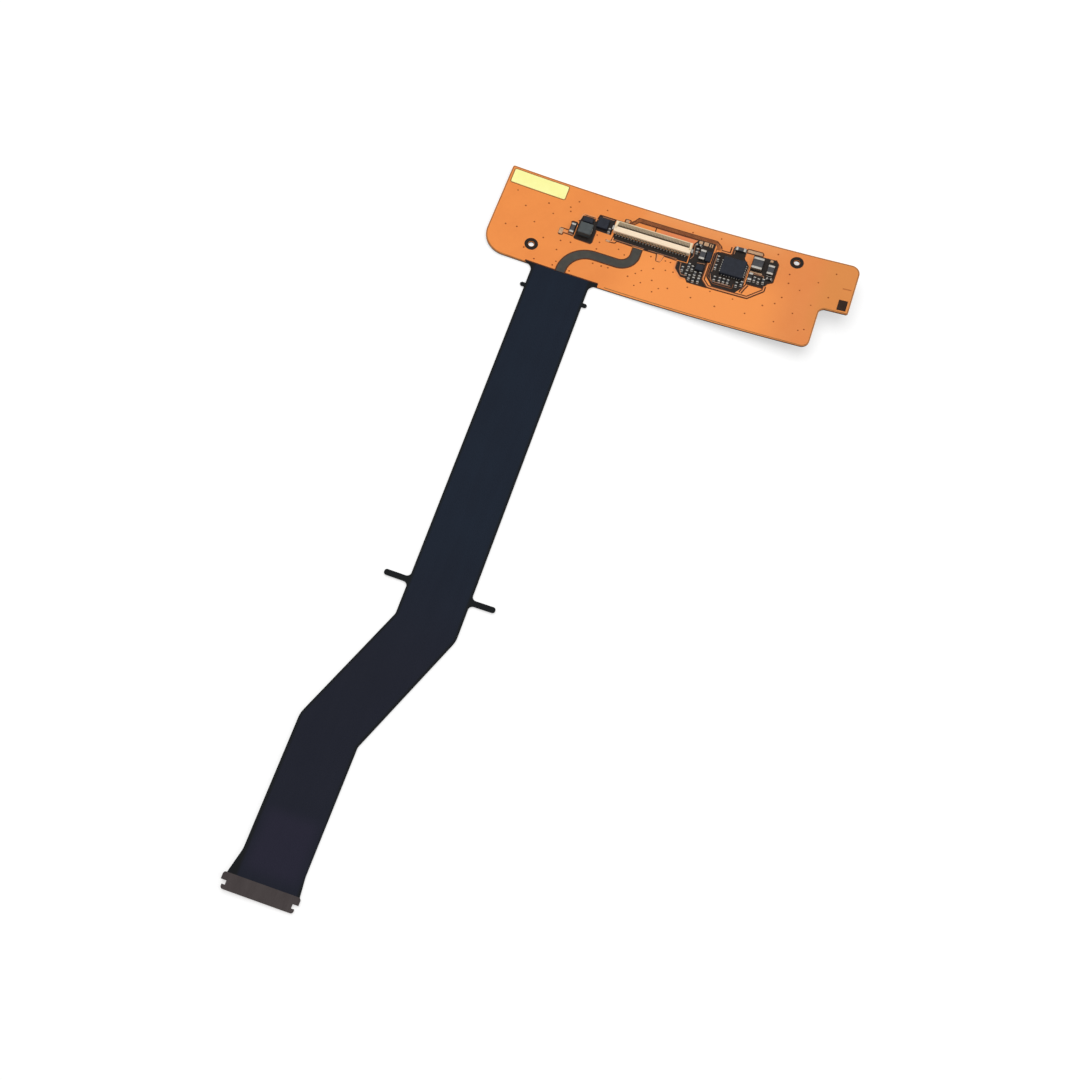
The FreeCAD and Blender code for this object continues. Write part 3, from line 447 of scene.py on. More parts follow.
@dataclass(frozen=True)
class TailFilm(Finish):
    """Dark film of the tail: bluish over the conductors, plain black where there are none.

    Attributes:
        low_colour: Its colour below the two arms.
        bare_colour: Its colour on the arms and along the edges, with no copper beneath.
        fade: Y at which the lower colour ends and the upper one is reached.
        streaks: Width of the darker streaks, their length in widths, and their strength.
        blotches: Size of the wider darker patches, and their strength.
        worn: Share of the darker shade everywhere.
        left: X of its left edge above and below its sideways step.
        left_step: Y at which the left edge's step starts and ends.
        right: X of its right edge above and below the step.
        right_step: Y at which the right edge's step starts and ends.
        rim: How far inside an edge the conductors begin to show, and show in full.
        pitch: Spacing of the conductors.
        ridge: Height of the conductors' ridges, in shares of the depth.
        grain_height: Share of the grain in the relief.
    """

    low_colour: Colour = tint(29, 31, 42)
    bare_colour: Colour = tint(20, 22, 24)
    fade: Pair = (-92.0, -58.0)
    streaks: Triple = (1.3, 14.0, 0.16)
    blotches: Pair = (9.0, 0.2)
    worn: float = 0.3
    left: Pair = (1.68, -7.15)
    left_step: Pair = (-78.80, -100.95)
    right: Pair = (13.20, 4.00)
    right_step: Pair = (-80.05, -103.20)
    rim: Pair = (0.1, 0.75)
    pitch: float = 0.62
    ridge: float = 0.55
    grain_height: float = 0.5

    def inset(self, graph: Graph, side: Pair, step: Pair) -> Field:
        """Distance to the right of a side edge, which steps over on a straight slant."""
        x, y, _ = graph.axes()
        return x - (y.ease(step[1], step[0], "LINEAR") * (side[0] - side[1]) + side[1])

    def inner(self, graph: Graph) -> Field:
        """1 over the conductors, falling to 0 at both edges."""
        start, end = self.rim
        from_left = self.inset(graph, self.left, self.left_step).ease(start, end)
        return from_left * self.inset(graph, self.right, self.right_step).ease(-start, -end)

    def colours(self, graph: Graph, grain: Field) -> Field:
        """Blue-black towards the board, more violet below the arms, black at the edges."""
        base = graph.blend(graph.axes()[1].ease(*self.fade), self.low_colour, self.colour)
        width, length, share = self.streaks
        streaks = graph.noise(width, stretch=(1.0, length, 1.0)) * share
        blotches = graph.noise(self.blotches[0], SMOOTH) * self.blotches[1]
        film = graph.blend((streaks + blotches + self.worn).at_least(0.0), base, self.shade)
        return graph.blend(self.inner(graph), self.bare_colour, film)

    def height(self, graph: Graph, grain: Field) -> Field:
        """Ridges of the conductors, which follow the step, under fine grain."""
        along = self.inset(graph, self.left, self.left_step) * (2.0 * math.pi / self.pitch)
        return along.wave() * self.inner(graph) * self.ridge + grain * self.grain_height


@dataclass(frozen=True)
class PlatedMetal(Finish):
    """Plated or tinned metal with drawn marks and a slight unevenness.

    Attributes:
        metal: 1 for bare metal.
        grain_height: Share of the grain in the relief.
        dents: Height of the shallow dents, in shares of the depth.
    """

    metal: float = 1.0
    grain_height: float = 0.6
    dents: float = 1.2

    def height(self, graph: Graph, grain: Field) -> Field:
        """Grain over shallow dents."""
        return grain * self.grain_height + graph.noise(self.patch, SMOOTH) * self.dents


@dataclass(frozen=True)
class SpeckledInk(Finish):
    """Printed dark ink with pinholes through which a lighter ground shows.

    Attributes:
        ground: Colour that shows through the pinholes.
        spacing: Mean distance between the pinholes.
        speck: Shares of the spacing at which a pinhole's edge begins and ends.
        speck_share: How much of the ground shows through one.
    """

    ground: Colour = tint(120, 88, 60)
    spacing: float = 0.55
    speck: Pair = (0.06, 0.16)
    speck_share: float = 0.35

    def colours(self, graph: Graph, grain: Field) -> Field:
        """Ink with small lighter specks."""
        base = graph.blend(graph.noise(self.patch).ease(-1.0, 1.0), self.colour, self.shade)
        specks = 1.0 - graph.cells(self.spacing).ease(*self.speck)
        return graph.blend(specks * self.speck_share, base, self.ground)


class Dress(Enum):
    """The finishes of the part, one for each kind of surface on it."""

    COVER = CoverFilm(
        "orange_cover_film", tint(238, 144, 72), tint(216, 120, 58),
        grain=0.22, depth=0.006, gleam=0.12, tints=(
            TintedPatch(23.0, 11.2, 29.3, 11.8, tint(216, 122, 94), 0.8, 0.45),
            TintedPatch(18.5, 12.1, 33.0, 12.95, tint(186, 112, 74), 0.4, 0.6),
            TintedPatch(22.0, -3.0, 44.0, 3.0, tint(247, 153, 79), 8.0, 0.7),
            TintedPatch(21.0, 15.6, 44.0, 17.0, tint(236, 162, 100), 4.5, 0.45),
            TintedPatch(57.0, 2.0, 64.0, 17.0, tint(212, 138, 70), 5.0, 0.6),
        ))
    LAMINATE = Finish(
        "laminate_edge", tint(126, 72, 34), tint(92, 50, 24), patch=3.0, grain=0.3,
        gloss=0.42, gleam=0.3, coat=0.05,
        tints=(TintedPatch(-13.0, -129.0, 19.0, -6.4, tint(32, 29, 30), 0.4),))
    STIFFENER = Finish(
        "dark_amber_stiffener", tint(96, 66, 42), tint(74, 48, 30), patch=6.0, grain=0.25,
        depth=0.006, gleam=0.3)
    TAIL = TailFilm(
        "dark_tail_film", tint(25, 34, 47), tint(19, 23, 34), grain=0.16, depth=0.006,
        gleam=0.05, tints=(TintedPatch(-4.5, -126.5, 1.5, -119.0, tint(40, 37, 54), 3.0, 0.5),))
    END = Finish(
        "contact_end_stiffener", tint(68, 61, 61), tint(56, 49, 49), patch=1.6, grain=0.2,
        gloss=0.48, gleam=0.12, stretch=(1, 5, 1))
    INK = SpeckledInk(
        "dark_resist_ink", tint(38, 30, 25), tint(24, 20, 18), patch=0.9, grain=0.09,
        depth=0.006, gleam=0.12)
    RING = Finish(
        "ring_ink", tint(27, 22, 19), tint(38, 30, 25), patch=0.5, grain=0.07, gloss=0.45,
        gleam=0.08)
    MARK = Finish(
        "marking_ink", tint(40, 25, 18), tint(52, 34, 24), patch=0.5, grain=0.07, gloss=0.45,
        gleam=0.08, tints=(TintedPatch(58.0, 8.4, 61.0, 11.0, tint(184, 108, 54), 0.3),))
    RIM = Finish(
        "film_rim", tint(170, 114, 62), tint(146, 94, 50), patch=1.2, grain=0.06,
        depth=0.003, gleam=0.12)
    SHIELD = Finish(
        "grey_shield_film", tint(66, 64, 58), tint(52, 50, 46), patch=1.4, depth=0.006,
        gloss=0.55, gleam=0.2)
    GOLD = PlatedMetal(
        "worn_gold_plating", (0.72, 0.52, 0.26), (0.60, 0.42, 0.20), patch=0.5, grain=0.05,
        depth=0.002, gloss=0.32)
    BARE_PAD = PlatedMetal(
        "bare_pad_plating", (0.32, 0.20, 0.12), (0.24, 0.15, 0.09), patch=0.4, grain=0.05,
        depth=0.002, gloss=0.42)
    PALE_PAD = Finish(
        "pale_plated_pad", tint(251, 250, 168), tint(246, 242, 154), patch=2.2, grain=0.15,
        depth=0.003, gloss=0.4, gleam=0.3)
    TRACE = CoverFilm(
        "film_over_traces", tint(234, 156, 98), tint(200, 118, 72), grain=0.1, depth=0.003,
        gloss=0.45, gleam=0.2)
    CREAM = Finish(
        "cream_moulding_and_recess_shade", tint(236, 216, 180), tint(222, 198, 160), patch=1.8, grain=0.06,
        depth=0.002, gloss=0.45, gleam=0.3, tints=(
            # The first patch is painted shade over the housing's recess; the second turns a narrow
            # band behind it grey-tan.
            TintedPatch(14.45, 8.2, 28.6, 9.9, tint(112, 96, 74), 0.15),
            TintedPatch(14.45, 9.9, 28.6, 10.14, tint(168, 150, 120), 0.1, 0.8),
        ))
    LEVER = Finish(
        "cream_lever", tint(249, 229, 200), tint(239, 216, 185), patch=2.4, grain=0.06,
        depth=0.002, gloss=0.42, gleam=0.3, stretch=(4, 1, 1))
    # Brass darkened partly as painted shade of the contacts inside the housing; the patch darkens
    # them more between Y 7 and 7.95.
    CONTACT = PlatedMetal(
        "drawn_contact_metal", (0.34, 0.28, 0.20), (0.25, 0.20, 0.14), patch=0.3, grain=0.03,
        depth=0.001, gloss=0.4,
        tints=(TintedPatch(10.0, 7.0, 32.0, 7.95, (0.26, 0.24, 0.21), 0.1),))
    TIN = PlatedMetal(
        "tinned_metal", (0.34, 0.32, 0.29), (0.22, 0.21, 0.19), patch=0.25, grain=0.04,
        gloss=0.44)
    CHIP = Finish(
        "chip_moulding", tint(33, 37, 47), tint(24, 27, 36), patch=0.8, grain=0.05,
        depth=0.003, gloss=0.46, gleam=0.14)
    POWDER = Finish(
        "pressed_powder_block", tint(70, 76, 77), tint(58, 64, 65), patch=0.9, grain=0.07,
        depth=0.006, gleam=0.25)
    CERAMIC = Finish(
        "glazed_ceramic", tint(62, 62, 66), tint(46, 46, 50), patch=0.4, grain=0.05,
        depth=0.003, gloss=0.4, gleam=0.25)
    BLACK_GLAZE = Finish(
        "resistor_glaze", tint(34, 32, 34), tint(22, 21, 24), patch=0.3, grain=0.04,
        depth=0.002, gloss=0.34, gleam=0.2)
    SOLDER = PlatedMetal(
        "solder", (0.28, 0.265, 0.245), (0.17, 0.16, 0.15), patch=0.15, grain=0.03, gloss=0.36)
    VIA = Finish(
        "filled_hole_ink", tint(160, 76, 28), tint(128, 58, 22), patch=0.2, grain=0.04,
        gleam=0.1)
    # Painted shadow: the dark brown of the lines along the film's raised edges, beside raised
    # traces and at the shield strip's sides.
    EDGE = Finish(
        "film_edge_painted_shadow", tint(92, 50, 26), tint(62, 34, 19), patch=0.6, grain=0.06,
        depth=0.003, gleam=0.12)
    BUS = Finish(
        "covered_bus", tint(138, 82, 48), tint(108, 62, 36), patch=0.8, grain=0.06,
        depth=0.003, gleam=0.15)
    TAN = Finish(
        "covered_trace", tint(172, 120, 88), tint(136, 94, 68), patch=0.6, grain=0.06,
        depth=0.003, gleam=0.2)

    @cache
    def material(self) -> bpy.types.Material:
        """The finish's material, made once."""
        return self.value.build()


NODE_DRESS: dict[str, Dress] = {
    "flex_core": Dress.LAMINATE,
    "board_stiffener": Dress.STIFFENER,
    "board_coverlay": Dress.COVER,
    "tail_top_film": Dress.TAIL,
    "tail_under_film": Dress.TAIL,
    "end_stiffener": Dress.END,
    "end_contacts": Dress.GOLD,
    "locating_rings": Dress.RING,
    "component_resist": Dress.INK,
    "marking_patches": Dress.MARK,
    "ground_pad": Dress.PALE_PAD,
    "bare_pads": Dress.BARE_PAD,
    "shield_strip": Dress.SHIELD,
    "bus_traces": Dress.BUS,
    "guard_traces": Dress.TRACE,
    "connector_housing": Dress.CREAM,
    "connector_front_contacts": Dress.CONTACT,
    "connector_rear_contacts": Dress.CONTACT,
    "connector_lever": Dress.LEVER,
    "connector_solder_tabs": Dress.TIN,
    "power_inductor": Dress.POWDER,
    "inductor_terminals": Dress.TIN,
    "driver_chip": Dress.CHIP,
    "driver_chip_leads": Dress.TIN,
    "regulator_chip": Dress.CHIP,
    "level_chip": Dress.CHIP,
    "logic_chip": Dress.CHIP,
    "diode": Dress.CHIP,
}


@dataclass
class PackedParts:
    """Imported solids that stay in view.

    Attributes:
        dresses: Finish of each, by its node's name.
    """

    dresses: dict[str, Dress] = field(default_factory=lambda: dict(NODE_DRESS))

    def build(self) -> None:
        """Give each solid its finish."""
        for name, dress in self.dresses.items():
            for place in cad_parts[name].material_slots:
                place.material = dress.material()
            log.info("dressed %s with %s", name, dress.value.name)


# Shapes


@dataclass(frozen=True)
class CurledSheet:
    """The gently curled laminate: a cylinder about an axis along the tail.

    Attributes:
        radius: Radius of the curl at its lowest level.
        line: X of the curl's lowest line.
        film_top: Level of the cover film's upper face.
        resist_top: Level of the dark resist's upper face.
        pad_top: Level just over the pale pad's upper face.
    """

    radius: float = 360.0
    line: float = 7.44
    film_top: float = 0.42
    resist_top: float = 0.46
    pad_top: float = 0.482

    def lift(self, x: np.ndarray, level: np.ndarray | float) -> np.ndarray:
        """Height of a level above the lowest line.

        A level stands a fixed way in from the curl's lowest level, so its height at x is
        radius - sqrt((radius - level)^2 - (x - line)^2).

        Args:
            x: Places along the board.
            level: Level in the stack.

        Returns:
            The heights in millimetres.
        """
        return self.radius - np.sqrt((self.radius - level) ** 2 - (x - self.line) ** 2)

    def lean(self, x: np.ndarray) -> np.ndarray:
        """Angle by which the sheet leans at places along the board."""
        return np.arcsin((x - self.line) / self.radius)


SHEET = CurledSheet()


@dataclass
class Shape:
    """Points and faces gathered for one mesh.

    Attributes:
        name: Name of the piece.
        dress: Finish of the piece.
        slot: Material slot of the record that the finish belongs to; not used.
        points: Blocks of points in millimetres.
        faces: Faces as lists of point numbers.
        count: Number of points so far.
    """

    name: str
    dress: Dress
    slot: str
    points: list[np.ndarray] = field(default_factory=list)
    faces: list[list[int]] = field(default_factory=list)
    count: int = 0

    def add(self, stacks: np.ndarray) -> None:
        """Add closed forms, each a stack of rings of points.

        A four-sided face joins each point and the next one on its ring to the same two
        points of the next ring, and one face closes each end of the stack.

        Args:
            stacks: Points by form, ring and place on the ring, in millimetres.
        """
        forms, rows, columns, _ = stacks.shape
        here = np.arange(rows * columns).reshape(rows, columns)
        ahead = np.roll(here, -1, axis=1)
        sides = np.stack([here[:-1], ahead[:-1], ahead[1:], here[1:]], axis=-1).reshape(-1, 4)
        ends = np.stack([here[0, ::-1], here[-1]])
        starts = self.count + rows * columns * np.arange(forms)[:, None, None]
        self.faces += (starts + sides).reshape(-1, 4).tolist()
        self.faces += (starts + ends).reshape(-1, columns).tolist()
        self.points.append(stacks.reshape(-1, 3))
        self.count += forms * rows * columns

    def make(self) -> bpy.types.Object:
        """Make the object, turn its faces outwards, dress it and let it ride on the circuit."""
        mesh = bpy.data.meshes.new(self.name)
        mesh.from_pydata((np.concatenate(self.points) * MM).tolist(), [], self.faces)
        solid = bmesh.new()
        solid.from_mesh(mesh)
        bmesh.ops.recalc_face_normals(solid, faces=solid.faces)
        solid.to_mesh(mesh)
        solid.free()
        mesh.polygons.foreach_set("use_smooth", np.ones(len(mesh.polygons), dtype=bool))
        mesh.set_sharp_from_angle(angle=SHARP_EDGE)
        mesh.materials.append(self.dress.material())
        made = bpy.data.objects.new(self.name, mesh)
        bpy.context.scene.collection.objects.link(made)
        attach(made, CIRCUIT)
        log.info("built %s with %d faces", self.name, len(self.faces))
        return made


@dataclass(frozen=True)
class Seats:
    """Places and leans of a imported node's separate solids, which stand on the curled board.

    Attributes:
        centre: Middle of each solid in millimetres.
        half: Half its size along its own axes.
        axes: Its own axes, one in each row.
    """

    centre: np.ndarray
    half: np.ndarray
    axes: np.ndarray

    @staticmethod
    def of(node: str) -> "Seats":
        """Seats of a node's solids.

        Points that touch are one point. Each point takes the lowest number among the
        triangles it belongs to, again and again, until every solid carries one number.
        A solid leans as the board does under the middle of its box, and its size is
        measured along its leaning axes.

        Args:
            node: Name of the node.

        Returns:
            One seat for each solid.
        """
        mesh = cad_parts[node].data
        flat = np.empty(len(mesh.vertices) * 3, dtype=np.float32)
        mesh.vertices.foreach_get("co", flat)
        points = flat.reshape(-1, 3).astype(float) / MM
        corners = np.empty(len(mesh.loops), dtype=np.int32)
        mesh.loops.foreach_get("vertex_index", corners)
        _, merged = np.unique(np.round(points, 4), axis=0, return_inverse=True)
        merged = merged.reshape(-1)
        linked = merged[corners].reshape(-1, 3)
        owner, before = np.arange(merged.max() + 1), None
        while before is None or (owner != before).any():
            before = owner.copy()
            np.minimum.at(owner, linked, owner[linked].min(axis=1)[:, None])
        _, group = np.unique(owner[merged], return_inverse=True)
        low, high = Seats.limits(points, group)
        lean = SHEET.lean((low[:, 0] + high[:, 0]) / 2)
        none, one = np.zeros_like(lean), np.ones_like(lean)
        axes = np.stack([
            np.stack([np.cos(lean), none, np.sin(lean)], axis=1),
            np.stack([none, one, none], axis=1),
            np.stack([-np.sin(lean), none, np.cos(lean)], axis=1),
        ], axis=1)
        low, high = Seats.limits(np.einsum("nij,nj->ni", axes[group], points), group)
        return Seats(np.einsum("ni,nij->nj", (low + high) / 2, axes), (high - low) / 2, axes)

    @staticmethod
    def limits(points: np.ndarray, group: np.ndarray) -> tuple[np.ndarray, np.ndarray]:
        """Lowest and highest corner of each group of points."""
        low = np.full((group.max() + 1, 3), np.inf)
        high = -low
        np.minimum.at(low, group, points)
        np.maximum.at(high, group, points)
        return low, high

    def world(self, local: np.ndarray) -> np.ndarray:
        """Points in the frame from points on each seat's own axes."""
        turned = np.einsum("nrci,nij->nrcj", local, self.axes)
        return self.centre[:, None, None, :] + turned


# Pieces


@dataclass
class ChipParts:
    """Two-ended chip parts: rounded bodies, domed end caps and the solder that holds them.

    Attributes:
        edge: Radius of the ceramic bodies' edges.
        cap_edge: Radius of the end caps' edges.
        edge_share: Most that a radius may be, as a share of half the smallest side.
        body_swell: How far the bodies' faces stand out in their middle.
        cap_swell: How far the caps' faces do.
        ring_angles: Angles in degrees of the rings round each rounded end.
        corner_points: Points on each corner of a ring.
        solder_reach: How far the solder runs out on the board.
        solder_climb: Share of the cap's height that the solder climbs.
        solder_width: Share of the cap's width that it takes.
        solder_hollow: Power by which its section falls.
        solder_lip: Height of its thin outer edge.
        solder_steps: Points along the top of its section.
        solder_cuts: Place across, share of the reach and share of the height of each cut.
        sunk: How far the solder starts inside the cap.
        bedded: How far its underside lies under the cap's.
    """

    edge: float = 0.03
    cap_edge: float = 0.07
    edge_share: float = 0.45
    body_swell: float = 0.012
    cap_swell: float = 0.02
    ring_angles: tuple[float, ...] = (20.0, 45.0, 70.0, 90.0)
    corner_points: int = 4
    solder_reach: float = 0.16
    solder_climb: float = 0.7
    solder_width: float = 0.94
    solder_hollow: float = 2.2
    solder_lip: float = 0.004
    solder_steps: int = 7
    solder_cuts: tuple[Triple, ...] = (
        (-1.0, 0.8, 0.75), (-0.7, 1.0, 1.0), (0.7, 1.0, 1.0), (1.0, 0.8, 0.75),
    )
    sunk: float = 0.012
    bedded: float = 0.02

    def build(self) -> None:
        """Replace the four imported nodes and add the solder."""
        body = self.edge, self.body_swell
        self.blocks("ceramic_capacitor_bodies", Dress.CERAMIC, "capacitor_ceramic", *body)
        self.blocks("resistor_bodies", Dress.BLACK_GLAZE, "resistor_ceramic", *body)
        solder = Shape("solder_fillets", Dress.SOLDER, "tin_metal")
        for node in ("ceramic_capacitor_ends", "resistor_ends"):
            caps = self.blocks(node, Dress.TIN, "tin_metal", self.cap_edge, self.cap_swell)
            solder.add(self.fillets(caps))
        solder.make()

    def blocks(self, node: str, dress: Dress, slot: str, radius: float, swell: float) -> Seats:
        """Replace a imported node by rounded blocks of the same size.

        Each ring of a block is a rounded rectangle: a point on a corner's arc stands at
        half the size less the radius, plus the radius times the sine and cosine of its
        direction. Towards both ends the arcs shrink by the sine of an angle and the rings
        close up by one minus its cosine. The ring in the middle swells.

        Args:
            node: Name of the node.
            dress: Finish of the blocks.
            slot: Material slot of the record that the finish belongs to.
            radius: Radius of their edges.
            swell: How far their faces swell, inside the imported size.

        Returns:
            Seats of the blocks.
        """
        seats = Seats.of(node)
        half = seats.half - np.array([0.0, swell, swell])
        edge = np.minimum(radius, self.edge_share * half.min(axis=1))[:, None]
        angles = np.radians(self.ring_angles)
        start = edge * (1.0 - np.cos(angles)) - half[:, :1]
        along = np.hstack([start, 0.0 * edge, -start[:, ::-1]])
        shrink = np.hstack([np.sin(angles), 1.0, np.sin(angles)[::-1]])
        bulge = np.hstack([0.0 * angles, swell, 0.0 * angles])
        corners = np.array([[1.0, 1.0], [-1.0, 1.0], [-1.0, -1.0], [1.0, -1.0]])
        quarters = np.arange(len(corners))[:, None] * math.pi / 2
        turns = (quarters + np.linspace(0.0, math.pi / 2, self.corner_points)).reshape(-1)
        circle = np.stack([np.cos(turns), np.sin(turns)], axis=1)
        flat = (half[:, 1:] - edge)[:, None, None, :] + bulge[:, None, None]
        across = (
            np.repeat(corners, self.corner_points, axis=0) * flat
            + circle * (edge * shrink)[:, :, None, None]
        )
        local = np.concatenate(
            [np.broadcast_to(along[:, :, None, None], (*across.shape[:3], 1)), across], axis=3)
        shape = Shape(node + "_rounded", dress, slot)
        shape.add(seats.world(local))
        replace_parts(shape.make(), node)
        return seats

    def fillets(self, caps: Seats) -> np.ndarray:
        """Solder wedges between the caps' outer faces and the board.

        A wedge's section falls in a hollow curve: its height at a share s of the reach is
        the climb times (1 - s) to a power. It runs across the cap, and draws in and lowers
        towards both ends. The outer face is the one away from the nearest other cap, which
        is at the part's other end.

        Args:
            caps: Seats of the end caps.

        Returns:
            Points by wedge, section and place on the section.
        """
        gaps = caps.centre[None, :, :] - caps.centre[:, None, :]
        apart = np.linalg.norm(gaps, axis=2) + np.diag(np.full(len(gaps), np.inf))
        mates = apart.argmin(axis=1)
        away = np.einsum("nij,nj->ni", caps.axes, caps.centre - caps.centre[mates])
        main = np.abs(away[:, :2]).argmax(axis=1)
        row = np.arange(len(main))
        forward, sideways = np.eye(3)[main], np.eye(3)[1 - main]
        outward = np.sign(away[row, main])[:, None, None]
        face = caps.half[row, main][:, None, None] - self.sunk
        width = caps.half[row, 1 - main][:, None, None] * self.solder_width
        tall = caps.half[:, 2][:, None, None]
        shares = np.linspace(0.0, 1.0, self.solder_steps)
        out = np.hstack([0.0, shares, 1.0]) * self.solder_reach
        curve = np.hstack([0.0, (1.0 - shares) ** self.solder_hollow, 0.0])
        lip = np.hstack([0.0, np.full(self.solder_steps, self.solder_lip), 0.0])
        part, draw_in, lower = np.array(self.solder_cuts).T[:, :, None]
        ahead = outward * (face + out * draw_in)
        rise = -tall - self.bedded + (2.0 * tall * self.solder_climb * curve + lip) * lower
        local = (
            ahead[..., None] * forward[:, None, None, :]
            + (width * part + 0.0 * out)[..., None] * sideways[:, None, None, :]
            + rise[..., None] * np.array([0.0, 0.0, 1.0])
        )
        return caps.world(local)


@dataclass
class FilledHoles:
    """Filled plated-through holes, seen as small reddish-brown dots in the cover film.

    Attributes:
        radius: Radius of a dot.
        top_share: Share of it that the flat top has.
        sides: Number of points round a dot.
        sunk: How far a dot starts under the film.
        foot: Height over the film up to which it is upright.
        proud: How far a dot's middle stands over the film.
        places: X and Y of each dot.
    """

    radius: float = 0.175
    top_share: float = 0.7
    sides: int = 14
    sunk: float = 0.02
    foot: float = 0.002
    proud: float = 0.012
    places: tuple[Point, ...] = (
        (5.7, 12.4), (-3.7, 7.7), (4.5, 10.6), (11.4, 12.5), (4.8, 9.7), (1.8, 8.0),
        (-6.2, 10.4), (0.3, 9.9), (-1.0, 4.9), (-6.0, 2.4), (-3.8, 2.6), (1.7, 2.2),
        (5.0, 2.8), (6.9, 3.1), (12.1, 5.1), (4.9, 0.6), (16.0, 4.9), (45.2, 13.8),
        (23.5, 3.1), (21.5, 1.9), (25.8, 3.5), (20.6, 0.9), (48.4, 10.1), (56.8, 12.7),
        (19.4, -0.2), (24.0, 0.5), (22.1, -0.7), (54.0, 9.9), (48.7, 8.1), (21.1, -1.7),
        (25.7, -0.8), (27.3, -0.2), (51.1, 7.2), (24.7, -1.9), (32.0, -0.7), (48.3, 4.7),
        (56.6, 7.2), (47.4, 3.0), (45.3, 1.9), (53.9, 4.6), (36.8, -1.1), (42.6, -0.8),
        (51.1, 1.9), (48.2, -0.9), (54.0, -0.9), (53.0, -1.4), (28.4, 13.4), (34.0, 13.8),
        (22.3, 5.5), (25.2, 5.5), (26.2, 5.5), (27.3, 3.6), (30.8, 1.3), (35.1, 1.8),
        (11.2, 6.5), (17.4, 4.1), (12.0, 3.5), (39.6, 1.5), (5.6, -1.9), (5.2, -2.9),
        (1.5, -2.9), (-1.1, -1.2), (8.6, -3.0), (12.3, 0.2), (14.0, 0.2), (15.3, 0.3),
    )

    def build(self) -> None:
        """Make all the dots as one piece.

        A dot is a low cone with a flat top: two rings of its radius, under and at the
        film's face, and a narrower ring on top.
        """
        turns = np.linspace(0.0, 2 * math.pi, self.sides + 1)[:-1]
        spread = np.array([1.0, 1.0, self.top_share])[:, None] * self.radius
        level = np.array([-self.sunk, self.foot, self.proud])[:, None]
        middle = np.array(self.places)[:, None, None, :]
        x = middle[..., 0] + spread * np.cos(turns)
        y = middle[..., 1] + spread * np.sin(turns)
        shape = Shape("filled_holes", Dress.VIA, "orange_film")
        shape.add(np.stack([x, y, SHEET.lift(x, SHEET.film_top + level)], axis=-1))
        shape.make()


# Share of a side that the arc at its end may take
SIDE_SHARE = 0.49
# Steps of an arc for each radian: the least number, and the number for each mm of radius
ARC_STEPS = 5.0
WIDE_ARC_STEPS = 3.0
# Fewest points on an arc
ARC_POINTS = 3


def rounded_route(corners: Route, bend: float) -> np.ndarray:
    """Points of a line that runs through corners and turns them in arcs.

    At a corner the arc touches both sides at a distance of the radius times the tangent
    of half the turn. Straight runs are cut into steps of a millimetre or less.

    Args:
        corners: X and Y of each corner, and its own radius where it has one.
        bend: Radius of the other corners.

    Returns:
        X and Y of the points.
    """
    places = np.array([corner[:2] for corner in corners], dtype=float)
    points = [places[:1]]
    for index in range(1, len(places) - 1):
        before, at, after = places[index - 1:index + 2]
        back, ahead = before - at, after - at
        reach = float(min(np.linalg.norm(back), np.linalg.norm(ahead))) * SIDE_SHARE
        back, ahead = back / np.linalg.norm(back), ahead / np.linalg.norm(ahead)
        turn = math.pi - math.acos(float(np.clip(back @ ahead, -1.0, 1.0)))
        own = corners[index][2:]
        radius = own[0] if own else min(bend, reach / math.tan(turn / 2))
        start = at + back * radius * math.tan(turn / 2)
        centre = at + (back + ahead) / np.linalg.norm(back + ahead) * radius / math.cos(turn / 2)
        first = math.atan2(*(start - centre)[::-1])
        sign = math.copysign(1.0, -back[0] * ahead[1] + back[1] * ahead[0])
        count = round(turn * max(ARC_STEPS, WIDE_ARC_STEPS * radius)) + 1
        angles = first + sign * turn * np.linspace(0.0, 1.0, max(ARC_POINTS, count))
        points.append(centre + radius * np.column_stack([np.cos(angles), np.sin(angles)]))
    points.append(places[-1:])
    line = np.concatenate(points)
    spans = np.linalg.norm(np.diff(line, axis=0), axis=1)
    counts = np.maximum(1, np.ceil(spans)).astype(int)
    first = np.repeat(np.arange(len(spans)), counts)
    order = np.arange(counts.sum()) - np.repeat(np.cumsum(counts) - counts, counts)
    share = (order / counts[first])[:, None]
    return np.vstack([line[first] * (1.0 - share) + line[first + 1] * share, line[-1:]])


def beside(line: np.ndarray, distance: np.ndarray) -> np.ndarray:
    """Lines that run beside another: each point moves along the line's normal.

    Args:
        line: X and Y of the line's points.
        distance: How far to the left each new line runs.

    Returns:
        X and Y by point and by new line.
    """
    along = np.gradient(line, axis=0)
    along /= np.linalg.norm(along, axis=1)[:, None]
    normal = np.stack([-along[:, 1], along[:, 0]], axis=1)
    return line[:, None, :] + distance[:, None] * normal[:, None, :]


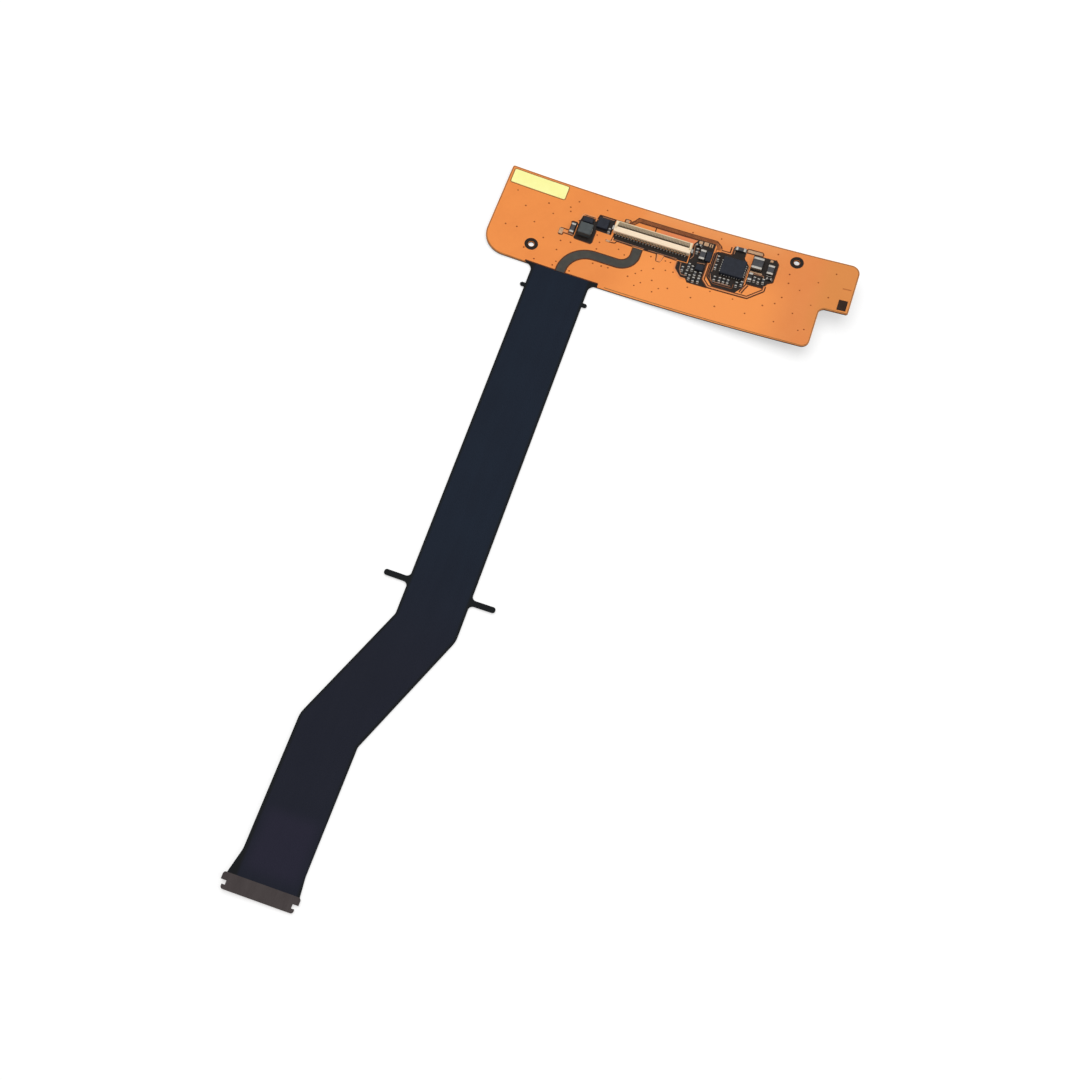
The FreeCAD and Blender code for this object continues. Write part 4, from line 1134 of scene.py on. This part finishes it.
@dataclass
class SurfaceLines:
    """Fine lines on the board: dark lines of painted shadow along edges pressed through the film,
    and covered traces.

    Attributes:
        edge_width: Width of the dark edge lines, which are painted shadow along raised edges.
        trace_width: Width of the paler covered traces.
        top_share: Share of a line's width that its upper face has.
        bend: Radius of their corners.
        flanked_bend: Radius of the corners of the raised traces.
        edges: Corners of each dark line of painted shadow.
        traces: Corners of each paler line.
        flanked: Middle lines of raised traces that have a dark line of painted shadow on each side.
        strip: Middle line of the grey shield strip.
        flank: How far from the middle of a raised trace its dark lines run.
        strip_half: Half the strip's width, at which its dark rims of painted shadow run.
        root: Corners of the shaded line above the tail's root.
        outline: Outline of the board, from one side of the tail round to the other.
        pad: Outline of the pale plated pad.
        rim_width: Width of the rims along both outlines.
        rim_inset: How far inside the outline the middle of the board's rim runs.
        sunk: How far the lines start under the film's face.
        root_sunk: How far the root's line does.
        edge_proud: How far the dark lines stand over the film.
        root_proud: How far the root's line does.
        rim_proud: How far the board's rim does.
        trace_proud: How far the paler lines stand over the dark resist.
        flank_proud: How far the lines beside raised traces do.
        strip_proud: How far the strip's rims do.
    """

    edge_width: float = 0.26
    trace_width: float = 0.17
    top_share: float = 0.8
    bend: float = 0.22
    flanked_bend: float = 0.44
    edges: tuple[Route, ...] = (
        ((6.95, 8.15), (7.1, 8.9), (7.35, 10.08), (9.8, 10.08), (10.0, 9.8)),
        ((10.25, 9.9), (10.42, 11.02), (15.25, 11.02)),
        ((15.35, 11.05), (15.35, 11.9), (16.42, 11.9), (16.42, 11.15), (15.5, 11.05)),
        ((16.55, 11.15), (17.7, 12.98), (33.4, 12.98), (34.5, 12.1), (34.72, 11.5)),
        ((17.1, 11.1), (17.95, 12.08), (29.9, 12.08)),
        ((21.5, 11.0), (21.5, 12.05)),
        ((22.2, 10.95), (24.2, 10.95)),
        ((13.1, 6.2), (13.2, 5.9), (14.1, 5.85), (14.22, 8.0)),
        ((14.1, 5.85), (14.9, 5.95), (15.15, 6.5), (18.3, 6.42)),
        ((20.5, 6.42), (23.15, 6.45), (23.45, 4.92), (24.25, 4.92), (24.6, 6.42), (27.2, 6.3)),
        ((27.22, 6.25), (27.4, 4.6), (28.75, 3.2), (29.85, 3.15), (30.4, 2.35), (34.3, 2.35)),
        ((39.38, 12.3), (39.38, 13.2), (42.4, 13.2), (42.65, 12.8), (42.5, 12.3), (39.38, 12.3)),
        ((41.0, 5.5), (44.2, 5.5), (44.9, 6.75), (45.85, 7.3), (45.9, 11.5), (45.2, 12.4)),
        ((4.08, 4.15), (4.08, 5.6), (5.7, 5.62)),
        ((4.1, 4.12), (4.85, 4.12), (4.9, 4.68), (7.05, 4.62)),
        ((5.65, 7.45), (5.85, 7.78), (6.75, 7.78), (7.15, 7.3)),
        ((7.3, 4.22), (10.5, 4.14), (10.72, 4.6), (10.72, 7.3)),
    )
    traces: tuple[Route, ...] = (
        ((28.1, 6.2), (28.25, 4.6), (28.75, 3.65), (29.7, 3.6)),
        ((29.55, 10.9), (29.95, 8.3), (29.5, 7.5)),
        ((30.1, 10.3), (30.55, 9.6), (31.05, 9.4)),
        ((31.0, 7.1), (32.5, 7.3)),
        ((34.2, 10.2), (34.2, 6.1)),
        ((34.05, 5.6), (34.5, 4.3), (35.4, 4.05), (38.4, 4.05)),
        ((37.2, 11.2), (37.2, 12.7)),
        ((40.6, 9.3), (40.6, 5.6)),
        ((41.1, 8.1), (43.9, 8.15), (43.9, 7.6)),
        ((7.75, 9.85), (9.5, 9.85)),
        ((11.0, 10.75), (13.4, 10.75)),
        ((14.6, 6.7), (20.6, 6.66)),
        ((21.4, 6.66), (27.1, 6.66)),
    )
    flanked: tuple[Route, ...] = (
        ((33.10, 7.60), (33.10, 3.90), (34.35, 2.65), (42.00, 2.65), (44.55, 5.00), (44.55, 6.00)),
        ((34.70, 11.05), (36.50, 11.05), (36.65, 11.20), (36.65, 12.60)),
        ((41.35, 5.35), (40.95, 4.45), (40.55, 3.30)),
    )
    strip: Route = (
        (7.0, -3.9), (7.0, 1.84, 5.1), (19.40, 1.84, 2.85), (19.40, 6.30),
    )
    flank: float = 0.24
    strip_half: float = 0.93
    root: Route = ((0.05, -3.72), (14.6, -3.72))
    outline: Route = (
        (0.3, -4.20), (-9.05, -4.15, 4.5), (-8.80, 15.19), (-8.55, 15.44),
        (60.95, 15.44, 1.85), (60.95, 4.80), (60.70, 4.55), (55.65, 4.55, 1.10),
        (55.65, -4.50, 1.45), (15.9, -4.284),
    )
    pad: Route = (
        (-8.21, 13.0), (-8.21, 14.89, 0.35), (2.94, 14.89, 0.35), (2.94, 11.68, 0.35),
        (-8.21, 11.68, 0.35), (-8.21, 13.02),
    )
    rim_width: float = 0.22
    rim_inset: float = 0.14
    sunk: float = 0.02
    root_sunk: float = 0.06
    edge_proud: float = 0.025
    root_proud: float = 0.015
    rim_proud: float = 0.012
    trace_proud: float = 0.015
    flank_proud: float = 0.02
    strip_proud: float = 0.03

    def build(self) -> None:
        """Make the dark lines of painted shadow, the paler ones and the rims as one piece each."""
        film, resist, low = SHEET.film_top, SHEET.resist_top, SHEET.film_top - self.sunk
        # Dark ribbons of painted shadow: along raised film edges, beside raised traces, at the
        # strip's sides and above the tail's root.
        dark = Shape("film_edge_lines", Dress.EDGE, "trace_film")
        for corners in self.edges:
            line = rounded_route(corners, self.bend)
            self.lay(dark, line, self.edge_width, low, film + self.edge_proud)
        for corners in self.flanked:
            line = rounded_route(corners, self.flanked_bend)
            self.pair(dark, line, self.flank, resist + self.flank_proud)
        strip = rounded_route(self.strip, self.bend)
        self.pair(dark, strip, self.strip_half, resist + self.strip_proud)
        root = rounded_route(self.root, self.bend)
        self.lay(dark, root, self.edge_width, film - self.root_sunk, film + self.root_proud)
        dark.make()
        pale = Shape("covered_traces", Dress.TAN, "trace_film")
        for corners in self.traces:
            line = rounded_route(corners, self.bend)
            self.lay(pale, line, self.trace_width, low, resist + self.trace_proud)
        pale.make()
        rims = Shape("film_rims", Dress.RIM, "orange_film")
        edge = beside(rounded_route(self.outline, self.bend), np.array([-self.rim_inset]))[:, 0]
        self.lay(rims, edge, self.rim_width, low, film + self.rim_proud)
        self.lay(rims, rounded_route(self.pad, self.bend), self.rim_width, low, SHEET.pad_top)
        rims.make()

    def pair(self, shape: Shape, line: np.ndarray, distance: float, high: float) -> None:
        """Two dark lines of painted shadow on both sides of a middle line.

        Args:
            shape: Shape that takes them.
            line: X and Y of the middle line.
            distance: How far from it they run.
            high: Level of their upper face.
        """
        low = SHEET.film_top - self.sunk
        for flank in beside(line, np.array([-distance, distance])).swapaxes(0, 1):
            self.lay(shape, flank, self.edge_width, low, high)

    def lay(self, shape: Shape, line: np.ndarray, width: float, low: float, high: float) -> None:
        """Flat ribbon that follows a line over the curled board.

        Its section is a shallow trapezium: full width at the low level and a share of it
        at the high one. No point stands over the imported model's highest point.

        Args:
            shape: Shape that takes the ribbon.
            line: X and Y of its middle line.
            width: Its width.
            low: Level of its underside.
            high: Level of its upper face.
        """
        edges = beside(line, np.array([-1.0, 1.0, self.top_share, -self.top_share]) * width / 2)
        rise = np.minimum(SHEET.lift(edges[..., 0], np.array([low, low, high, high])), HIGHEST)
        shape.add(np.concatenate([edges, rise[..., None]], axis=2)[None])


# Studio


def stand(
    name: str, data: bpy.types.Camera | bpy.types.Light, place: np.ndarray,
    right: np.ndarray, ahead: np.ndarray,
) -> bpy.types.Object:
    """Put a camera or lamp in the scene.

    Its upward axis is the cross product of the other two, right and ahead.

    Args:
        name: Name of the object.
        data: The camera or lamp.
        place: Its place in millimetres.
        right: Direction to its right.
        ahead: Direction in which it looks or shines.

    Returns:
        The object.
    """
    made = bpy.data.objects.new(name, data)
    matrix = np.eye(4)
    matrix[:3] = np.column_stack([right, np.cross(right, ahead), -ahead, place * MM])
    made.matrix_world = Matrix(matrix.tolist())
    bpy.context.scene.collection.objects.link(made)
    return made


@dataclass
class Studio:
    """Pale floor, soft lamps, white surroundings and the camera.

    Attributes:
        target: Point of the board's plane that the picture's middle shows.
        elevation: Angle of the view below the horizon, in degrees.
        roll: Turn of the camera about its own line of sight.
        heading: Turn of the camera about the upright.
        distance: Distance from the camera to the target.
        focal: Focal length in pixels of the picture.
        picture: Width of the picture in pixels.
        sensor: Width of the camera's sensor.
        sight: Nearest and furthest distance that the camera sees, in metres.
        surround: Strength of the light from all round.
        floor_half: Half the floor's width, in metres.
        floor_gap: How far the floor lies under the object.
        floor_shades: Two close greys, just under white where the camera sees them.
        floor_patch: Size of their patches.
        floor_gloss: Roughness of the floor.
        floor_glow: Light added to the floor where the camera sees it.
        lamps: Name, place, width and power in watts of each lamp.
        lamp_target: Place that the lamps face.
    """

    target: Place = (20.84, -57.16, 0.42)
    elevation: float = 67.44
    roll: float = -11.97
    heading: float = 7.37
    distance: float = 297.7
    focal: float = 1682.0
    picture: float = 1080.0
    sensor: float = 36.0
    sight: Pair = (0.01, 10.0)
    surround: float = 0.42
    floor_half: float = 1.6
    floor_gap: float = 0.02
    floor_shades: tuple[Colour, Colour] = ((0.54, 0.54, 0.54), (0.56, 0.56, 0.56))
    floor_patch: float = 60.0
    floor_gloss: float = 0.9
    floor_glow: float = 0.52
    lamps: tuple[tuple[str, Place, float, float], ...] = (
        ("lamp_over", (-60.0, 60.0, 520.0), 620.0, 2.0),
        ("lamp_side", (420.0, -160.0, 360.0), 380.0, 0.6),
    )
    lamp_target: Place = (20.0, -50.0, 0.0)

    def build(self) -> None:
        """Make everything that isn't part of the object."""
        self.place_camera()
        self.make_floor()
        self.light_world()
        for lamp in self.lamps:
            self.hang_lamp(*lamp)
        bpy.context.scene.view_settings.view_transform = "Standard"

    def place_camera(self) -> None:
        """Set the camera at the photograph's angle."""
        down, turn, head = (math.radians(a) for a in (self.elevation, self.roll, self.heading))
        ahead = np.array([0.0, math.cos(down), -math.sin(down)])
        level = np.array([1.0, 0.0, 0.0])
        right = math.cos(turn) * level - math.sin(turn) * np.cross(level, ahead)
        spin = np.array([
            [math.cos(head), -math.sin(head), 0.0],
            [math.sin(head), math.cos(head), 0.0],
            [0.0, 0.0, 1.0],
        ])
        right, ahead = spin @ right, spin @ ahead
        place = np.array(self.target) - ahead * self.distance
        lens = bpy.data.cameras.new("camera")
        lens.sensor_width = self.sensor
        lens.lens = self.focal / self.picture * self.sensor
        lens.clip_start, lens.clip_end = self.sight
        bpy.context.scene.camera = stand("camera", lens, place, right, ahead)

    def make_floor(self) -> None:
        """Lay a wide pale floor whose own colour stays just under white."""
        half = self.floor_half
        mesh = bpy.data.meshes.new("floor")
        mesh.from_pydata(
            [(-half, -half, 0), (half, -half, 0), (half, half, 0), (-half, half, 0)],
            [], [(0, 1, 2, 3)])
        floor = bpy.data.objects.new("floor", mesh)
        floor.location.z = CAD_BOX[0][2] - self.floor_gap * MM
        graph = SurfaceGraph("pale_floor")
        patches = graph.noise(self.floor_patch, SMOOTH).ease(-1.0, 1.0)
        seen = graph.value(graph.node("ShaderNodeLightPath"), "Is Camera Ray")
        graph.finish(
            Base_Color=graph.blend(patches, *self.floor_shades),
            Roughness=self.floor_gloss,
            Specular_IOR_Level=0.0,
            Emission_Color=seen * self.floor_glow,
            Emission_Strength=1.0,
        )
        mesh.materials.append(graph.material)
        bpy.context.scene.collection.objects.link(floor)

    def light_world(self) -> None:
        """Soft light all round, white where the camera, gloss or glass sees it."""
        world = bpy.data.worlds.new("surroundings")
        bpy.context.scene.world = world
        world.use_nodes = True
        graph = Graph(world.node_tree)
        path = graph.node("ShaderNodeLightPath")
        seen = graph.value(path, "Is Camera Ray")
        for kind in ("Is Glossy Ray", "Is Transmission Ray"):
            seen = seen.at_least(graph.value(path, kind))
        white = (1.0, 1.0, 1.0)
        soft = graph.node("ShaderNodeBackground", sockets={0: white, 1: self.surround})
        bright = graph.node("ShaderNodeBackground", sockets={0: white, 1: 1.0})
        mix = graph.node(
            "ShaderNodeMixShader", sockets={0: seen, 1: graph.value(soft), 2: graph.value(bright)})
        graph.node("ShaderNodeOutputWorld", sockets={"Surface": graph.value(mix)})

    def hang_lamp(self, name: str, place: Place, width: float, power: float) -> None:
        """Hang a square soft lamp that faces the object.

        Args:
            name: Name of the lamp.
            place: Its place in millimetres.
            width: Its width in millimetres.
            power: Its power in watts.
        """
        light = bpy.data.lights.new(name, "AREA")
        light.shape = "SQUARE"
        light.size = width * MM
        light.energy = power
        ahead = np.array(self.lamp_target) - np.array(place)
        ahead = ahead / np.linalg.norm(ahead)
        right = np.cross(ahead, [0.0, 1.0, 0.0])
        stand(name, light, np.array(place), right / np.linalg.norm(right), ahead)


def main() -> None:
    """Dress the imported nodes, build the pieces on them and set up the studio."""
    logging.basicConfig(level=logging.INFO, format="%(name)s: %(message)s")
    for assembly in (PackedParts(), ChipParts(), FilledHoles(), SurfaceLines(), Studio()):
        log.info("building %s", type(assembly).__name__)
        assembly.build()
    bpy.context.view_layer.update()
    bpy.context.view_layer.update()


if __name__ == "__main__":
    main()
